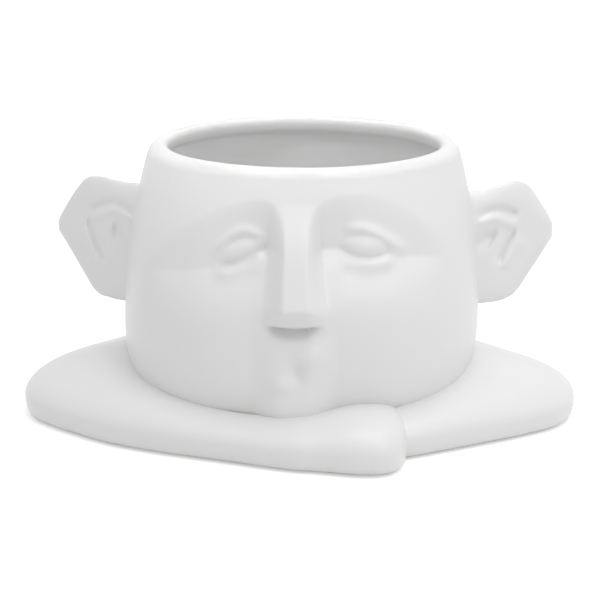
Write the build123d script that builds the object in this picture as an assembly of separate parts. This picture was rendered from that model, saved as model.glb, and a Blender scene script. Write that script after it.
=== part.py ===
from build123d import *
import math
import numpy as np
import os

# A glazed ceramic planter: a wide, bald head, open at the crown, resting on its own folded arms.
# Millimetres. +Z is up, the face looks along -Y, and the origin is the bottom centre of the whole piece.
# The head, the two ears and the two arms are separate castings, luted together before firing.
# Left and right are the viewer's. Azimuths are degrees seen from above: 0 is +X and 90 is the back.

# Head, as a pot
head_height = 117.5
head_half_width = 77.4
head_front_depth = 74.5
head_back_depth = 77.0
head_centre_y = 5.0
head_lean = 1.8
head_wall = 5.8
floor_thickness = 7.0
floor_corner = 16.0
glaze_softness = 1.0

# Rim bead
bead_radius = 4.2
bead_land = 0.5
bead_shoulder = 7.0
bead_upright_share = 0.3
bead_step_share = 0.6

# Foot and drain
foot_recess_depth = 4.0
foot_ring_width = 8.0
drain_hole_radius = 7.0

# Nose: a long box with a chamfered tip
nose_x = -1.9
nose_root_z = 105.0
nose_tip_z = 64.0
nose_under_z = 57.3
nose_rise = 12.5
nose_under_rise = 6.2
nose_undercut = 1.8
nose_hollow_depth = 4.2
nose_hollow_x = -3.0
nose_hollow_z = 49.5
nose_hollow_half = 11.5
nose_ridge_half_top = 4.4
nose_ridge_half_tip = 5.4
nose_base_half_top = 10.4
nose_base_half_tip = 13.4
nose_softness = 1.6
nostril_x = 10.0
nostril_z = 61.0
nostril_rise = 2.0
nostril_reach = 5.0

# Eye sockets: down from the brow to the line where the cheek begins, and out along the cheek
socket_depth_inner = 9.2
socket_depth_outer = 4.6
socket_inner_x = 14.0
socket_outer_x = 46.0
temple_x = 66.0
temple_fade = 20.0
cheek_slope_height = 26.0

# Eyes
eye_half_length = 9.6
eye_half_height = 5.8
eye_ball_share = 0.88
eye_rise = 2.9
eye_right_x = 26.0
eye_right_z = 86.2
eye_right_slant = -5.0
eye_left_x = -22.9
eye_left_z = 84.8
eye_left_slant = 19.0
upper_lid_rise = 2.1
upper_lid_width = 2.2
lower_lid_rise = 2.3
lower_lid_width = 1.2

# Cheeks, muzzle, mouth and chin
cheek_x = 34.0
cheek_z = 62.0
cheek_rise = 1.8
cheek_half_width = 24.0
cheek_half_height = 20.0
muzzle_x = -2.6
muzzle_z = 51.0
muzzle_rise = 3.6
muzzle_flat_half = 3.0
muzzle_half = 20.0
muzzle_fade = 12.0
mouth_x = -1.6
mouth_z = 36.6
mouth_rise = -2.6
mouth_half_length = 3.4
mouth_half_height = 4.2
upper_lip_x = 3.6
upper_lip_z = 43.6
upper_lip_rise = 1.0
lower_lip_x = -8.2
lower_lip_z = 31.8
lower_lip_rise = 1.7
lip_half_length = 5.4
lip_half_height = 4.0
chin_x = -4.0
chin_z = 15.0
chin_rise = 5.2
chin_half_width = 15.0
chin_half_height = 12.0

# Ears, each swept back from the side of the head
ear_root_y = 3.0
ear_root_depth = 14.0
ear_middle_z = 70.8
ear_half_height = 27.8
ear_reach_left = 33.0
ear_reach_right = 36.0
ear_sweep_left = 26.0
ear_sweep_right = 18.0
ear_thickness_root = 13.0
ear_thickness_tip = 7.0
ear_groove_depth = 2.6
ear_groove_width = 2.6
ear_fold_rise = 1.4
ear_fold_width = 2.4
ear_slit_depth = 1.8
ear_slit_width = 2.1
ear_helix_rise = 1.1
ear_helix_width = 2.6
ear_shell_depth = 3.0
ear_shell_width = 4.2

# Folded arms
elbow_reach = 121.0
shoulder_height = 31.0
arm_belly_height = 7.5
arm_tuck = 2.6
arm_crown_share = 0.37
arm_wall = 5.5
arm_inner_radius = 40.0
arm_inner_fall = 5.0
arm_hollow_width_least = 3.0
arm_hollow_start_turn = 14.0
arm_hollow_end_gap_turn = 18.0
wrist_turn = 180.0
hand_length = 43.8
hand_reach = 105.1
hand_middle = 78.0
hand_swell = 0.36
hand_swell_share = 0.4
hand_round_share = 0.62
hand_bluntness = 2.6
right_forearm_end_turn = 157.0
vent_radius = 2.0

# Silicone pieces
pad_height = 1.0
pad_radius = 5.5
pad_front_x = 84.0
pad_front_y = -30.0
pad_back_x = 60.0
pad_back_y = 58.0
plug_clearance = 0.08
plug_flange_radius = 11.0
plug_flange_height = 1.8
plug_tip_rise = 1.0
plug_tip_taper = 0.9
plug_grip_length = 12.0
plug_grip_width = 2.4
plug_grip_height = 1.8
cut_overrun = 1.0

# How finely the modelled surfaces are drawn
ring_points = 112
ring_front_share = 0.55
ring_gap = 2.4
ear_points = 64
ear_stations = 22
arm_curve_points = 13
arm_station_turn = 5.0

clay_bottom = pad_height

# Rows up the head: height share, half-width share, front share, back share and squareness
head_profile_shares = [
    (0.000, 0.660, 0.660, 0.660, 2.20),
    (0.026, 0.745, 0.755, 0.745, 2.30),
    (0.077, 0.860, 0.865, 0.860, 2.50),
    (0.128, 0.928, 0.925, 0.928, 2.60),
    (0.179, 0.964, 0.960, 0.964, 2.60),
    (0.239, 0.986, 0.984, 0.986, 2.60),
    (0.315, 0.998, 0.998, 0.998, 2.60),
    (0.400, 1.000, 1.000, 1.000, 2.55),
    (0.511, 0.992, 0.990, 0.990, 2.45),
    (0.631, 0.978, 0.970, 0.970, 2.35),
    (0.750, 0.953, 0.948, 0.945, 2.20),
    (0.844, 0.921, 0.918, 0.915, 2.10),
    (0.912, 0.897, 0.893, 0.890, 2.03),
    (0.963, 0.876, 0.873, 0.867, 2.00),
    (1.000, 0.858, 0.860, 0.852, 2.00),
]

# Lines across the face: shares of the head's half width from its middle, and of its height
brow_right_shares = [
    (0.039, 0.844), (0.084, 0.880), (0.155, 0.909), (0.258, 0.920), (0.388, 0.912),
    (0.517, 0.876), (0.628, 0.824), (0.724, 0.754), (0.801, 0.691),
]
brow_left_shares = [
    (-0.853, 0.631), (-0.736, 0.716), (-0.620, 0.784), (-0.491, 0.840), (-0.366, 0.878),
    (-0.261, 0.900), (-0.187, 0.904), (-0.129, 0.885), (-0.088, 0.848),
]
cheek_right_shares = [
    (0.039, 0.716), (0.129, 0.725), (0.226, 0.720), (0.284, 0.701), (0.368, 0.692),
    (0.439, 0.690), (0.497, 0.694), (0.620, 0.686), (0.736, 0.676), (0.801, 0.664),
]
cheek_left_shares = [
    (-0.853, 0.614), (-0.795, 0.616), (-0.689, 0.627), (-0.581, 0.639), (-0.465, 0.655),
    (-0.388, 0.670), (-0.284, 0.696), (-0.209, 0.720), (-0.155, 0.729), (-0.088, 0.725),
]

# Lid lines: shares of the eye's half length and half height from its centre
upper_lid_right_shares = [
    (-1.10, 1.28), (-0.79, 1.59), (-0.32, 1.74), (0.15, 1.59), (0.61, 1.24),
    (0.98, 0.86), (1.34, 0.38), (1.71, -0.17), (2.07, -0.62),
]
upper_lid_left_shares = [
    (-1.48, -0.78), (-1.11, 0.00), (-0.80, 0.66), (-0.48, 1.21), (-0.07, 1.60),
    (0.31, 1.67), (0.71, 1.41), (1.00, 0.83), (1.14, -0.17),
]
lower_lid_right_shares = [
    (-1.00, -0.45), (-0.74, -0.78), (-0.42, -1.00), (-0.01, -1.12), (0.41, -1.10),
    (0.82, -0.91), (1.24, -0.66),
]
lower_lid_left_shares = [
    (-1.11, -1.43), (-0.75, -1.45), (-0.39, -1.29), (-0.02, -1.07), (0.34, -0.76),
    (0.71, -0.34), (0.96, 0.03),
]

# Ear outlines from the head outwards: reach share, then bottom and top shares of the half height
ear_outline_left_shares = [
    (-0.42, -0.88, 1.04),
    (0.00, -0.89, 1.04),
    (0.13, -0.89, 1.06),
    (0.25, -0.87, 1.08),
    (0.40, -0.83, 1.08),
    (0.50, -0.73, 1.06),
    (0.58, -0.59, 1.00),
    (0.67, -0.43, 0.88),
    (0.80, -0.20, 0.67),
    (0.91, -0.01, 0.46),
    (1.00, 0.14, 0.28),
]
ear_outline_right_shares = [
    (-0.39, -0.92, 0.88),
    (0.00, -0.94, 0.90),
    (0.14, -0.94, 0.92),
    (0.31, -0.93, 0.97),
    (0.42, -0.89, 1.00),
    (0.52, -0.82, 1.00),
    (0.60, -0.70, 0.97),
    (0.68, -0.55, 0.90),
    (0.80, -0.33, 0.69),
    (0.91, -0.12, 0.48),
    (1.00, 0.05, 0.28),
]

# Lines on the front of each ear: reach share and half-height share
ear_lines_left_shares = {
    "groove": [(-0.15, 0.50), (0.00, 0.61), (0.15, 0.71), (0.33, 0.76), (0.55, 0.66), (0.68, 0.48)],
    "fold": [(-0.06, 0.41), (0.10, 0.54), (0.33, 0.65), (0.58, 0.56), (0.69, 0.38)],
    "slit": [(0.68, 0.54), (0.64, 0.37), (0.58, 0.13), (0.50, -0.06), (0.43, -0.22), (0.37, -0.37)],
    "helix": [(0.75, 0.46), (0.68, 0.26), (0.61, 0.02), (0.51, -0.23), (0.42, -0.42)],
    "shell": [(0.42, 0.37), (0.24, 0.31), (0.09, 0.22), (-0.04, 0.07), (-0.15, -0.06)],
}
ear_lines_right_shares = {
    "groove": [(-0.08, 0.46), (0.07, 0.56), (0.26, 0.64), (0.45, 0.66), (0.60, 0.59), (0.72, 0.42)],
    "fold": [(-0.04, 0.38), (0.10, 0.46), (0.29, 0.54), (0.45, 0.51), (0.66, 0.36), (0.74, 0.28)],
    "slit": [(0.66, 0.44), (0.62, 0.27), (0.51, 0.01), (0.44, -0.23), (0.38, -0.40)],
    "helix": [(0.76, 0.32), (0.69, 0.12), (0.61, -0.04), (0.52, -0.20), (0.43, -0.36)],
    "shell": [(0.46, 0.24), (0.32, 0.18), (0.18, 0.12), (0.06, 0.05), (-0.06, -0.06)],
}

# Rows round an arm from the back seam: turn in degrees, reach share, crest share of the reach,
# height share, and how steeply the top falls to the edge, where 1 is a plain ellipse
left_arm_shares = [
    (0.0, 0.762, 0.800, 0.680, 1.20),
    (25.0, 0.780, 0.790, 0.680, 1.20),
    (45.0, 0.820, 0.740, 0.680, 1.30),
    (60.0, 0.862, 0.690, 0.690, 1.40),
    (70.0, 0.910, 0.640, 0.730, 1.43),
    (80.0, 0.965, 0.600, 0.810, 1.43),
    (90.0, 1.000, 0.580, 0.920, 1.43),
    (98.0, 1.008, 0.580, 0.970, 1.43),
    (104.0, 0.998, 0.590, 0.930, 1.40),
    (110.0, 0.958, 0.620, 0.865, 1.35),
    (118.0, 0.905, 0.665, 0.780, 1.30),
    (127.0, 0.861, 0.715, 0.710, 1.15),
    (139.0, 0.806, 0.785, 0.610, 1.00),
    (154.0, 0.768, 0.800, 0.525, 0.88),
    (165.0, 0.773, 0.800, 0.510, 0.85),
    (174.0, 0.799, 0.795, 0.525, 0.85),
    (180.0, 0.823, 0.790, 0.550, 0.85),
]
right_arm_shares = [
    (0.0, 0.762, 0.800, 0.680, 1.20),
    (25.0, 0.780, 0.790, 0.660, 1.20),
    (45.0, 0.820, 0.740, 0.620, 1.30),
    (60.0, 0.862, 0.680, 0.590, 1.40),
    (70.0, 0.905, 0.620, 0.610, 1.43),
    (80.0, 0.960, 0.570, 0.680, 1.43),
    (90.0, 0.993, 0.550, 0.800, 1.43),
    (98.0, 1.005, 0.550, 0.880, 1.43),
    (104.0, 1.006, 0.570, 0.890, 1.43),
    (110.0, 0.983, 0.600, 0.860, 1.40),
    (118.0, 0.915, 0.655, 0.790, 1.35),
    (128.0, 0.842, 0.720, 0.700, 1.15),
    (139.0, 0.795, 0.790, 0.595, 1.00),
    (152.0, 0.775, 0.810, 0.515, 0.90),
    (165.0, 0.770, 0.810, 0.500, 0.85),
]


def clamp(value):
    return np.clip(value, 0.0, 1.0)


def between(start, end, share):
    return start + (end - start) * share


def ease(value, start, end):
    """0 at start and 1 at end, whichever of the two is larger."""
    share = clamp((value - start) / (end - start))
    return share * share * (3 - 2 * share)


def bump(across, reach_x, up, reach_z):
    return np.exp(-((across / reach_x) ** 2) - (up / reach_z) ** 2)


def through(places, values, place):
    """The value at a place on a smooth line through values at places, level beyond its ends."""
    places, values = np.asarray(places, float), np.asarray(values, float)
    slopes = np.gradient(values, places)
    place = np.clip(place, places[0], places[-1])
    low = np.clip(np.searchsorted(places, place) - 1, 0, len(places) - 2)
    span = places[low + 1] - places[low]
    t = (place - places[low]) / span
    return (
        values[low] * (2 * t**3 - 3 * t**2 + 1)
        + slopes[low] * span * (t**3 - 2 * t**2 + t)
        + values[low + 1] * (3 * t**2 - 2 * t**3)
        + slopes[low + 1] * span * (t**3 - t**2)
    )


def row_at(rows, place):
    """Each column of a table of rows at a place in its first column."""
    columns = list(zip(*rows))
    return [through(columns[0], column, place) for column in columns[1:]]


def fold(line, x, z, reach):
    """A soft ridge of height 1 along a line of (x, z) points, fading at both ends."""
    order = np.arange(len(line))
    steps = np.linspace(0, len(line) - 1, 4 * len(line) - 3)
    points = np.stack([through(order, column, steps) for column in zip(*line)], 1)
    nearest = np.full(np.shape(x), np.inf)
    share = np.zeros(np.shape(x))
    for i, (start, end) in enumerate(zip(points, points[1:])):
        run = end - start
        t = clamp(((x - start[0]) * run[0] + (z - start[1]) * run[1]) / (run @ run))
        gap = np.hypot(x - start[0] - t * run[0], z - start[1] - t * run[1])
        share = np.where(gap < nearest, (i + t) / (len(points) - 1), share)
        nearest = np.minimum(gap, nearest)
    return np.exp(-((nearest / reach) ** 2)) * ease(share, 0, 0.25) * ease(share, 1, 0.75)


def closed_wire(points):
    """One closed spline whose points are evenly spaced in its parameter, so that lofts stay light."""
    places = [i / len(points) for i in range(len(points) + 1)]
    return Wire([Edge.make_spline(points, periodic=True, parameters=places)])


def open_spline(points):
    places = [i / (len(points) - 1) for i in range(len(points))]
    return Edge.make_spline(points, parameters=places)


# The face


def nose(x, z):
    """How much of a point belongs to the nose, and the nose's height there."""
    down = clamp((nose_root_z - z) / (nose_root_z - nose_tip_z))
    across = np.hypot(x - nose_x, nose_softness)
    ridge = between(nose_ridge_half_top, nose_ridge_half_tip, down)
    base = between(nose_base_half_top, nose_base_half_tip, down**1.5)
    side = clamp((base - across) / (base - ridge))
    share = (side + ease(side, 0, 1)) / 2
    bridge = nose_rise * down * ease(down, -0.5, 0.4)
    chamfer_down = np.minimum((nose_tip_z - z) / (nose_tip_z - nose_under_z), 1)
    chamfer = between(nose_rise, nose_under_rise, chamfer_down)
    height = np.minimum(bridge, chamfer / np.maximum(share, 0.05))
    return share, height * ease(z, nose_under_z - nose_undercut, nose_under_z)


def nose_hollow(x, z):
    """Depth of the shadowed hollow under the nose, wide at the top and pointed below."""
    up = clamp((z - nose_hollow_z) / (nose_under_z - nose_hollow_z))
    half = nose_hollow_half * np.sqrt(up) + nose_softness
    beside = ease(np.abs(x - nose_hollow_x), half, half / 2)
    return nose_hollow_depth * beside * ease(up, 0, 0.5) * ease(z, nose_under_z, nose_under_z - nose_undercut)


def socket(x, z):
    """Depth of an eye socket: down from the brow, then out again along the slope of the cheek."""
    across = x / head_half_width
    on_right = x > nose_x
    brow_share = np.where(
        on_right,
        through(*zip(*brow_right_shares), across),
        through(*zip(*brow_left_shares), across),
    )
    cheek_share = np.where(
        on_right,
        through(*zip(*cheek_right_shares), across),
        through(*zip(*cheek_left_shares), across),
    )
    brow, cheek = brow_share * head_height, cheek_share * head_height
    down = clamp((brow - z) / (brow - cheek))
    slope = down * ease(down, -0.6, 0.5)
    shelf = (1 - clamp((cheek - z) / cheek_slope_height)) ** 2
    from_nose = np.abs(x - nose_x)
    depth = between(socket_depth_inner, socket_depth_outer, ease(from_nose, socket_inner_x, socket_outer_x))
    return depth * slope * shelf * ease(from_nose, temple_x, temple_x - temple_fade)


def eye(x, z, centre_x, centre_z, slant, upper_shares, lower_shares):
    """Ball and lids of one eye."""
    turn = math.radians(slant)
    along = (x - centre_x) * math.cos(turn) + (z - centre_z) * math.sin(turn)
    up = (z - centre_z) * math.cos(turn) - (x - centre_x) * math.sin(turn)
    share = np.hypot(along / eye_half_length, up / eye_half_height / eye_ball_share)
    ball = eye_rise * clamp(1 - share**2) ** 0.85
    upper, lower = [
        [(centre_x + a * eye_half_length, centre_z + b * eye_half_height) for a, b in shares]
        for shares in (upper_shares, lower_shares)
    ]
    upper_lid = upper_lid_rise * fold(upper, x, z, upper_lid_width)
    return ball + upper_lid + lower_lid_rise * fold(lower, x, z, lower_lid_width)


def muzzle(x, z):
    """The soft block from nose to chin, with the hollow under the nose, pursed lips and chin."""
    side = ease(np.abs(x - muzzle_x), muzzle_half, muzzle_flat_half)
    body = muzzle_rise * side * ease(z, muzzle_z + muzzle_fade / 2, muzzle_z - muzzle_fade / 2)
    dent = mouth_rise * bump(x - mouth_x, mouth_half_length, z - mouth_z, mouth_half_height)
    upper = upper_lip_rise * bump(x - upper_lip_x, lip_half_length, z - upper_lip_z, lip_half_height)
    lower = lower_lip_rise * bump(x - lower_lip_x, lip_half_length, z - lower_lip_z, lip_half_height)
    chin = chin_rise * bump(x - chin_x, chin_half_width, z - chin_z, chin_half_height)
    return body + dent + upper + lower + chin - nose_hollow(x, z)


def crisp_relief(x, z):
    """How far the face stands out of the plain pot, along -Y, before glaze rounds its edges."""
    share, height = nose(x, z)
    right = (eye_right_x, eye_right_z, eye_right_slant, upper_lid_right_shares, lower_lid_right_shares)
    left = (eye_left_x, eye_left_z, eye_left_slant, upper_lid_left_shares, lower_lid_left_shares)
    from_nose = np.abs(x - nose_x)
    cheek = cheek_rise * bump(from_nose - cheek_x, cheek_half_width, z - cheek_z, cheek_half_height)
    nostril = nostril_rise * bump(from_nose - nostril_x, nostril_reach, z - nostril_z, nostril_reach)
    beside = eye(x, z, *right) + eye(x, z, *left) - socket(x, z) + cheek + nostril
    return share * height + (1 - share) * beside + muzzle(x, z)


def face_relief(x, z):
    """The face as it shows, with its edges rounded by the glaze."""
    reach = glaze_softness
    around = [(0, 0), (reach, 0), (-reach, 0), (0, reach), (0, -reach)]
    return sum(crisp_relief(x + dx, z + dz) for dx, dz in around) / len(around)


# The head


def head_radius(azimuth, z, inset=0.0):
    """Distance from the head's upright axis to its plain surface, less an inset."""
    width, front, back, squareness = row_at(head_profile_shares, z / head_height)
    angle = np.radians(azimuth)
    depth = np.where(np.sin(angle) > 0, back * head_back_depth, front * head_front_depth) - inset
    across = np.abs(np.cos(angle)) / (width * head_half_width - inset)
    along = np.abs(np.sin(angle)) / depth
    return (across**squareness + along**squareness) ** (-1 / squareness)


def ring_azimuths():
    """Azimuths round the head, closest together across the face."""
    turn = np.linspace(-math.pi, math.pi, ring_points, endpoint=False)
    return -90 + np.degrees(turn - ring_front_share * np.sin(turn))


def head_ring(z, inset=0.0, relief_share=1.0):
    """One level ring of the head; on an inset ring, only a share of the face shows."""
    azimuths = ring_azimuths()
    angle = np.radians(azimuths)
    radius = head_radius(azimuths, z, inset)
    x, y = radius * np.cos(angle), radius * np.sin(angle)
    lean = head_lean * z / head_height
    face_x = x * head_half_width / (head_half_width - inset) + lean
    relief = face_relief(face_x, np.full(ring_points, clay_bottom + z))
    relief = relief * ease(-y, 0, head_front_depth / 2)
    y = y - np.where(relief > 0, relief_share, 1.0) * relief
    return closed_wire([Vector(*p, clay_bottom + z) for p in zip(x + lean, y + head_centre_y)])


def over_bead(inset_at_edge, towards):
    """Rings over the top of the rim bead, as (height, inset) pairs."""
    rings = []
    for angle in (25, 50, 70, 90):
        over = math.radians(angle)
        inset = inset_at_edge + towards * (bead_radius - bead_land / 2) * (1 - math.cos(over))
        rings.append((head_height - bead_radius + bead_radius * math.sin(over), inset))
    return rings


def head_outside():
    """The solid outer form, up and over the outer half of the rim bead."""
    bead_z = head_height - bead_radius
    steps = round(bead_z / ring_gap)
    rings = [head_ring(bead_z * i / steps) for i in range(steps + 1)]
    rings += [head_ring(z, inset) for z, inset in over_bead(0.0, 1)]
    return Solid.make_loft(rings, ruled=True)


def head_cavity():
    """The planting space, whose wall follows the face a little."""
    follow_share = 0.4
    floor_z = foot_recess_depth + floor_thickness
    bead_z = head_height - bead_radius
    rows = []
    for share in (0.0, 0.06, 0.2, 0.45, 0.75, 1.0):
        corner = floor_corner * (1 - math.sqrt(1 - (1 - share) ** 2))
        rows.append((floor_z + floor_corner * share, head_wall + corner))
    wall_start = floor_z + floor_corner
    wall_height = bead_z - bead_shoulder - wall_start
    wall_rings = 14
    for i in range(1, wall_rings + 1):
        rows.append((wall_start + wall_height * i / wall_rings, head_wall))
    bead_width = 2 * bead_radius
    for step_share in (1.0, 0.66, 0.33, 0.0):
        share = between(bead_upright_share, bead_step_share, step_share)
        inset = between(bead_width, head_wall, ease(step_share, 0, 1))
        rows.append((bead_z - bead_shoulder * share, inset))
    rows.append((bead_z, bead_width))
    rows += over_bead(bead_width, -1)
    return Solid.make_loft([head_ring(z, inset, follow_share) for z, inset in rows], ruled=True)


def foot_recess():
    """The shallow recess inside the unglazed foot ring."""
    azimuths = ring_azimuths()
    angle = np.radians(azimuths)
    radius = head_radius(azimuths, 0.0, foot_ring_width)
    rings = []
    for z in (-cut_overrun, foot_recess_depth):
        places = zip(radius * np.cos(angle), radius * np.sin(angle) + head_centre_y)
        rings.append(closed_wire([Vector(*p, clay_bottom + z) for p in places]))
    return Solid.make_loft(rings)


def drain_cutter():
    depth = foot_recess_depth + floor_thickness + 2 * cut_overrun
    place = Location((0, head_centre_y, clay_bottom - cut_overrun))
    return Solid.make_cylinder(drain_hole_radius, depth).moved(place)


def head_bowl(outside):
    return outside - head_cavity() - foot_recess() - drain_cutter()


# The arms


def arm_curve(turn, rows, inset=0.0):
    """Outer curve of an arm's section as (radius, height) pairs, from its underside to its crest."""
    reach_share, crest_share, row_height_share, fall = row_at(rows, turn)
    crest = reach_share * elbow_reach * crest_share
    reach = reach_share * elbow_reach - inset
    height = row_height_share * shoulder_height - inset
    belly = min(arm_belly_height, height / 2)
    under = arm_curve_points // 3
    points = []
    for i in range(under):
        angle = math.pi / 2 * i / under
        points.append((reach - arm_tuck * (1 - math.sin(angle)), between(belly, inset, math.cos(angle))))
    over = arm_curve_points - under
    for i in range(over + 1):
        angle = math.pi / 2 * i / over
        out, up = abs(math.cos(angle)) ** fall, math.sin(angle) ** (1 + (fall - 1) * arm_crown_share)
        points.append((between(crest, reach, out), between(belly, height, up)))
    return points


def on_arm(turn, side, radius, z):
    """A point in the upright plane at that turn from the back seam; side is 1 on +X and -1 on -X."""
    azimuth = math.radians(90 - side * turn)
    return Vector(radius * math.cos(azimuth), head_centre_y + radius * math.sin(azimuth), clay_bottom + z)


def arm_section(turn, side, rows):
    """Closed wire across an arm, from the underside round to the part that the head cuts away."""
    curve = arm_curve(turn, rows)
    inner_height = curve[-1][1] - arm_inner_fall
    first, last = (arm_inner_radius, 0.0), (arm_inner_radius, inner_height)
    return arm_wire([on_arm(turn, side, *p) for p in (first, *curve, last)])


def arm_wire(corners):
    """A line from the first point, a spline over the curve, and lines back round to the first."""
    first, *points, last = corners
    return Wire(
        [
            Edge.make_line(first, points[0]),
            open_spline(points),
            Edge.make_line(points[-1], last),
            Edge.make_line(last, first),
        ]
    )


def arm_sections(side, rows, end_turn):
    """Sections of one arm from the back seam to a turn."""
    stations = round(end_turn / arm_station_turn)
    return [arm_section(end_turn * i / stations, side, rows) for i in range(stations + 1)]


def hand_section(share):
    """Wire across the hand, which runs on along +X from the wrist and ends bluntly at a share of 1."""
    late = clamp((share - hand_round_share) / (1 - hand_round_share))
    blunt = (1 - late**hand_bluntness) ** (1 / hand_bluntness)
    curve = arm_curve(wrist_turn, left_arm_shares)
    widest = max(forward for forward, _ in curve)
    swollen = ease(share, 0, hand_swell_share)
    widening = (between(widest, hand_reach, swollen) - hand_middle) / (widest - hand_middle)
    above = (1 + hand_swell * swollen) * blunt
    points = []
    for forward, z in ((arm_inner_radius, 0.0), *curve, (arm_inner_radius, curve[-1][1] - arm_inner_fall)):
        if forward > hand_middle:
            forward = hand_middle + (forward - hand_middle) * widening * blunt
        if z > arm_belly_height:
            z = arm_belly_height + (z - arm_belly_height) * above
        points.append(Vector(hand_length * share, head_centre_y - forward, clay_bottom + z))
    return arm_wire(points)


def hand_sections():
    """Sections of the hand, the first of them at the wrist."""
    hand_shares = (0.0, 0.1, 0.2, 0.3, 0.4, 0.62, 0.75, 0.84, 0.9, 0.945, 0.975, 0.993)
    return [hand_section(share) for share in hand_shares]


def arm_hollow_section(turn, side, rows):
    """Closed wire across the hollow of an arm, one wall in from its skin and out from the head."""
    curve = arm_curve(turn, rows, arm_wall)
    crest_height = curve[-1][1]
    inner = head_radius(90 - side * turn, crest_height) + arm_wall
    inner = min(inner, curve[0][0] - arm_hollow_width_least)
    kept = [(max(radius, inner + arm_hollow_width_least / 2), z) for radius, z in curve]
    points = [on_arm(turn, side, *p) for p in kept]
    first, last = on_arm(turn, side, inner, arm_wall), on_arm(turn, side, inner, crest_height)
    return Wire(
        [
            Edge.make_line(first, points[0]),
            open_spline(points),
            Edge.make_line(points[-1], last),
            Edge.make_line(last, first),
        ]
    )


def arm_hollow(side, rows, end):
    """The space that slip leaves when it is poured out, and the vent under the elbow for the kiln."""
    stations = int((end - arm_hollow_start_turn) / arm_station_turn) + 1
    turns = [between(arm_hollow_start_turn, end, i / stations) for i in range(stations + 1)]
    hollow = Solid.make_loft([arm_hollow_section(turn, side, rows) for turn in turns], ruled=True)
    radius = (head_half_width + elbow_reach) / 2
    place = Location((side * radius, head_centre_y, clay_bottom - cut_overrun))
    return hollow + Solid.make_cylinder(vent_radius, arm_wall + 2 * cut_overrun).moved(place)


# The ears


def ear_relief(lines, reach, out, z):
    """How far the front of an ear stands out: groove, fold, slit, helix and the shell by the head."""
    cuts = {
        "groove": (-ear_groove_depth, ear_groove_width),
        "fold": (ear_fold_rise, ear_fold_width),
        "slit": (-ear_slit_depth, ear_slit_width),
        "helix": (ear_helix_rise, ear_helix_width),
        "shell": (-ear_shell_depth, ear_shell_width),
    }
    total = 0
    for name, (height, width) in cuts.items():
        line = [(a * reach, b * ear_half_height) for a, b in lines[name]]
        total = total + height * fold(line, out, z, width)
    return total


def ear_section(side, reach, sweep, outline, lines, out_share):
    """Closed wire across an ear, at a share of its reach from the head."""
    bottom, top = row_at(outline, out_share)
    middle, half = between(bottom, top, 0.5), (top - bottom) / 2
    taper = math.sqrt(clamp(out_share))
    rounding = math.sqrt(1 - clamp((out_share - 0.9) / 0.1) ** 2)
    thickness = between(ear_thickness_root, ear_thickness_tip, taper) * rounding
    angle = np.linspace(0, 2 * math.pi, ear_points, endpoint=False)
    height_share = np.sign(np.sin(angle)) * np.abs(np.sin(angle)) ** 0.8
    z = (middle + half * height_share) * ear_half_height
    full = thickness / 2 * np.sqrt(1 - np.abs(height_share) ** 4)
    out = np.full(ear_points, out_share * reach)
    relief = ear_relief(lines, reach, out, z) * np.sqrt(1 - np.abs(height_share) ** 4)
    front = np.where(np.cos(angle) > 0, full + relief, -full)
    turn = math.radians(sweep)
    x = head_half_width + out * math.cos(turn) - front * math.sin(turn)
    y = ear_root_y + out * math.sin(turn) - front * math.cos(turn)
    return closed_wire([Vector(*p) for p in zip(side * x, y, clay_bottom + ear_middle_z + z)])


def ear_solid(side, reach, sweep, outline, lines):
    """One ear, from inside the head outwards; side is 1 on +X and -1 on -X."""
    start, end = -ear_root_depth / reach, 0.9
    shares = [between(start, end, i / ear_stations) for i in range(ear_stations + 1)]
    shares += [0.95, 0.975, 0.99]
    return Solid.make_loft([ear_section(side, reach, sweep, outline, lines, share) for share in shares])


# Silicone pieces


def foot_pad(x, y):
    pad = Solid.make_cylinder(pad_radius, pad_height)
    pad = pad.fillet(pad_height / 3, pad.edges().group_by(Axis.Z)[0])
    return pad.moved(Location((x, y, 0)))


def drain_plug():
    """A stopper pushed up from below: flange in the foot recess, stem in the hole, grip to pull."""
    stem_radius = drain_hole_radius - plug_clearance
    underside = clay_bottom + foot_recess_depth
    flange = Solid.make_cylinder(plug_flange_radius, plug_flange_height)
    flange = flange.fillet(plug_flange_height / 3, flange.edges().group_by(Axis.Z)[0])
    flange = flange.moved(Location((0, head_centre_y, underside - plug_flange_height)))
    stem = Solid.make_cylinder(stem_radius, floor_thickness)
    stem = stem.moved(Location((0, head_centre_y, underside)))
    tip = Solid.make_cone(stem_radius, stem_radius - plug_tip_taper, plug_tip_rise)
    tip = tip.moved(Location((0, head_centre_y, underside + floor_thickness)))
    grip_bottom = underside - plug_flange_height - plug_grip_height
    grip = Solid.make_box(plug_grip_length, plug_grip_width, plug_grip_height + plug_flange_height / 2)
    corner = (-plug_grip_length / 2, head_centre_y - plug_grip_width / 2, grip_bottom)
    return flange + stem + tip + grip.moved(Location(corner))


def largest(shape):
    """The main solid of a cut, without any sliver that the cut leaves beside it."""
    return max(shape.solids(), key=lambda solid: solid.volume)


def write(name, shape):
    export_step(shape, f"parts/{name}.step")


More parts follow.
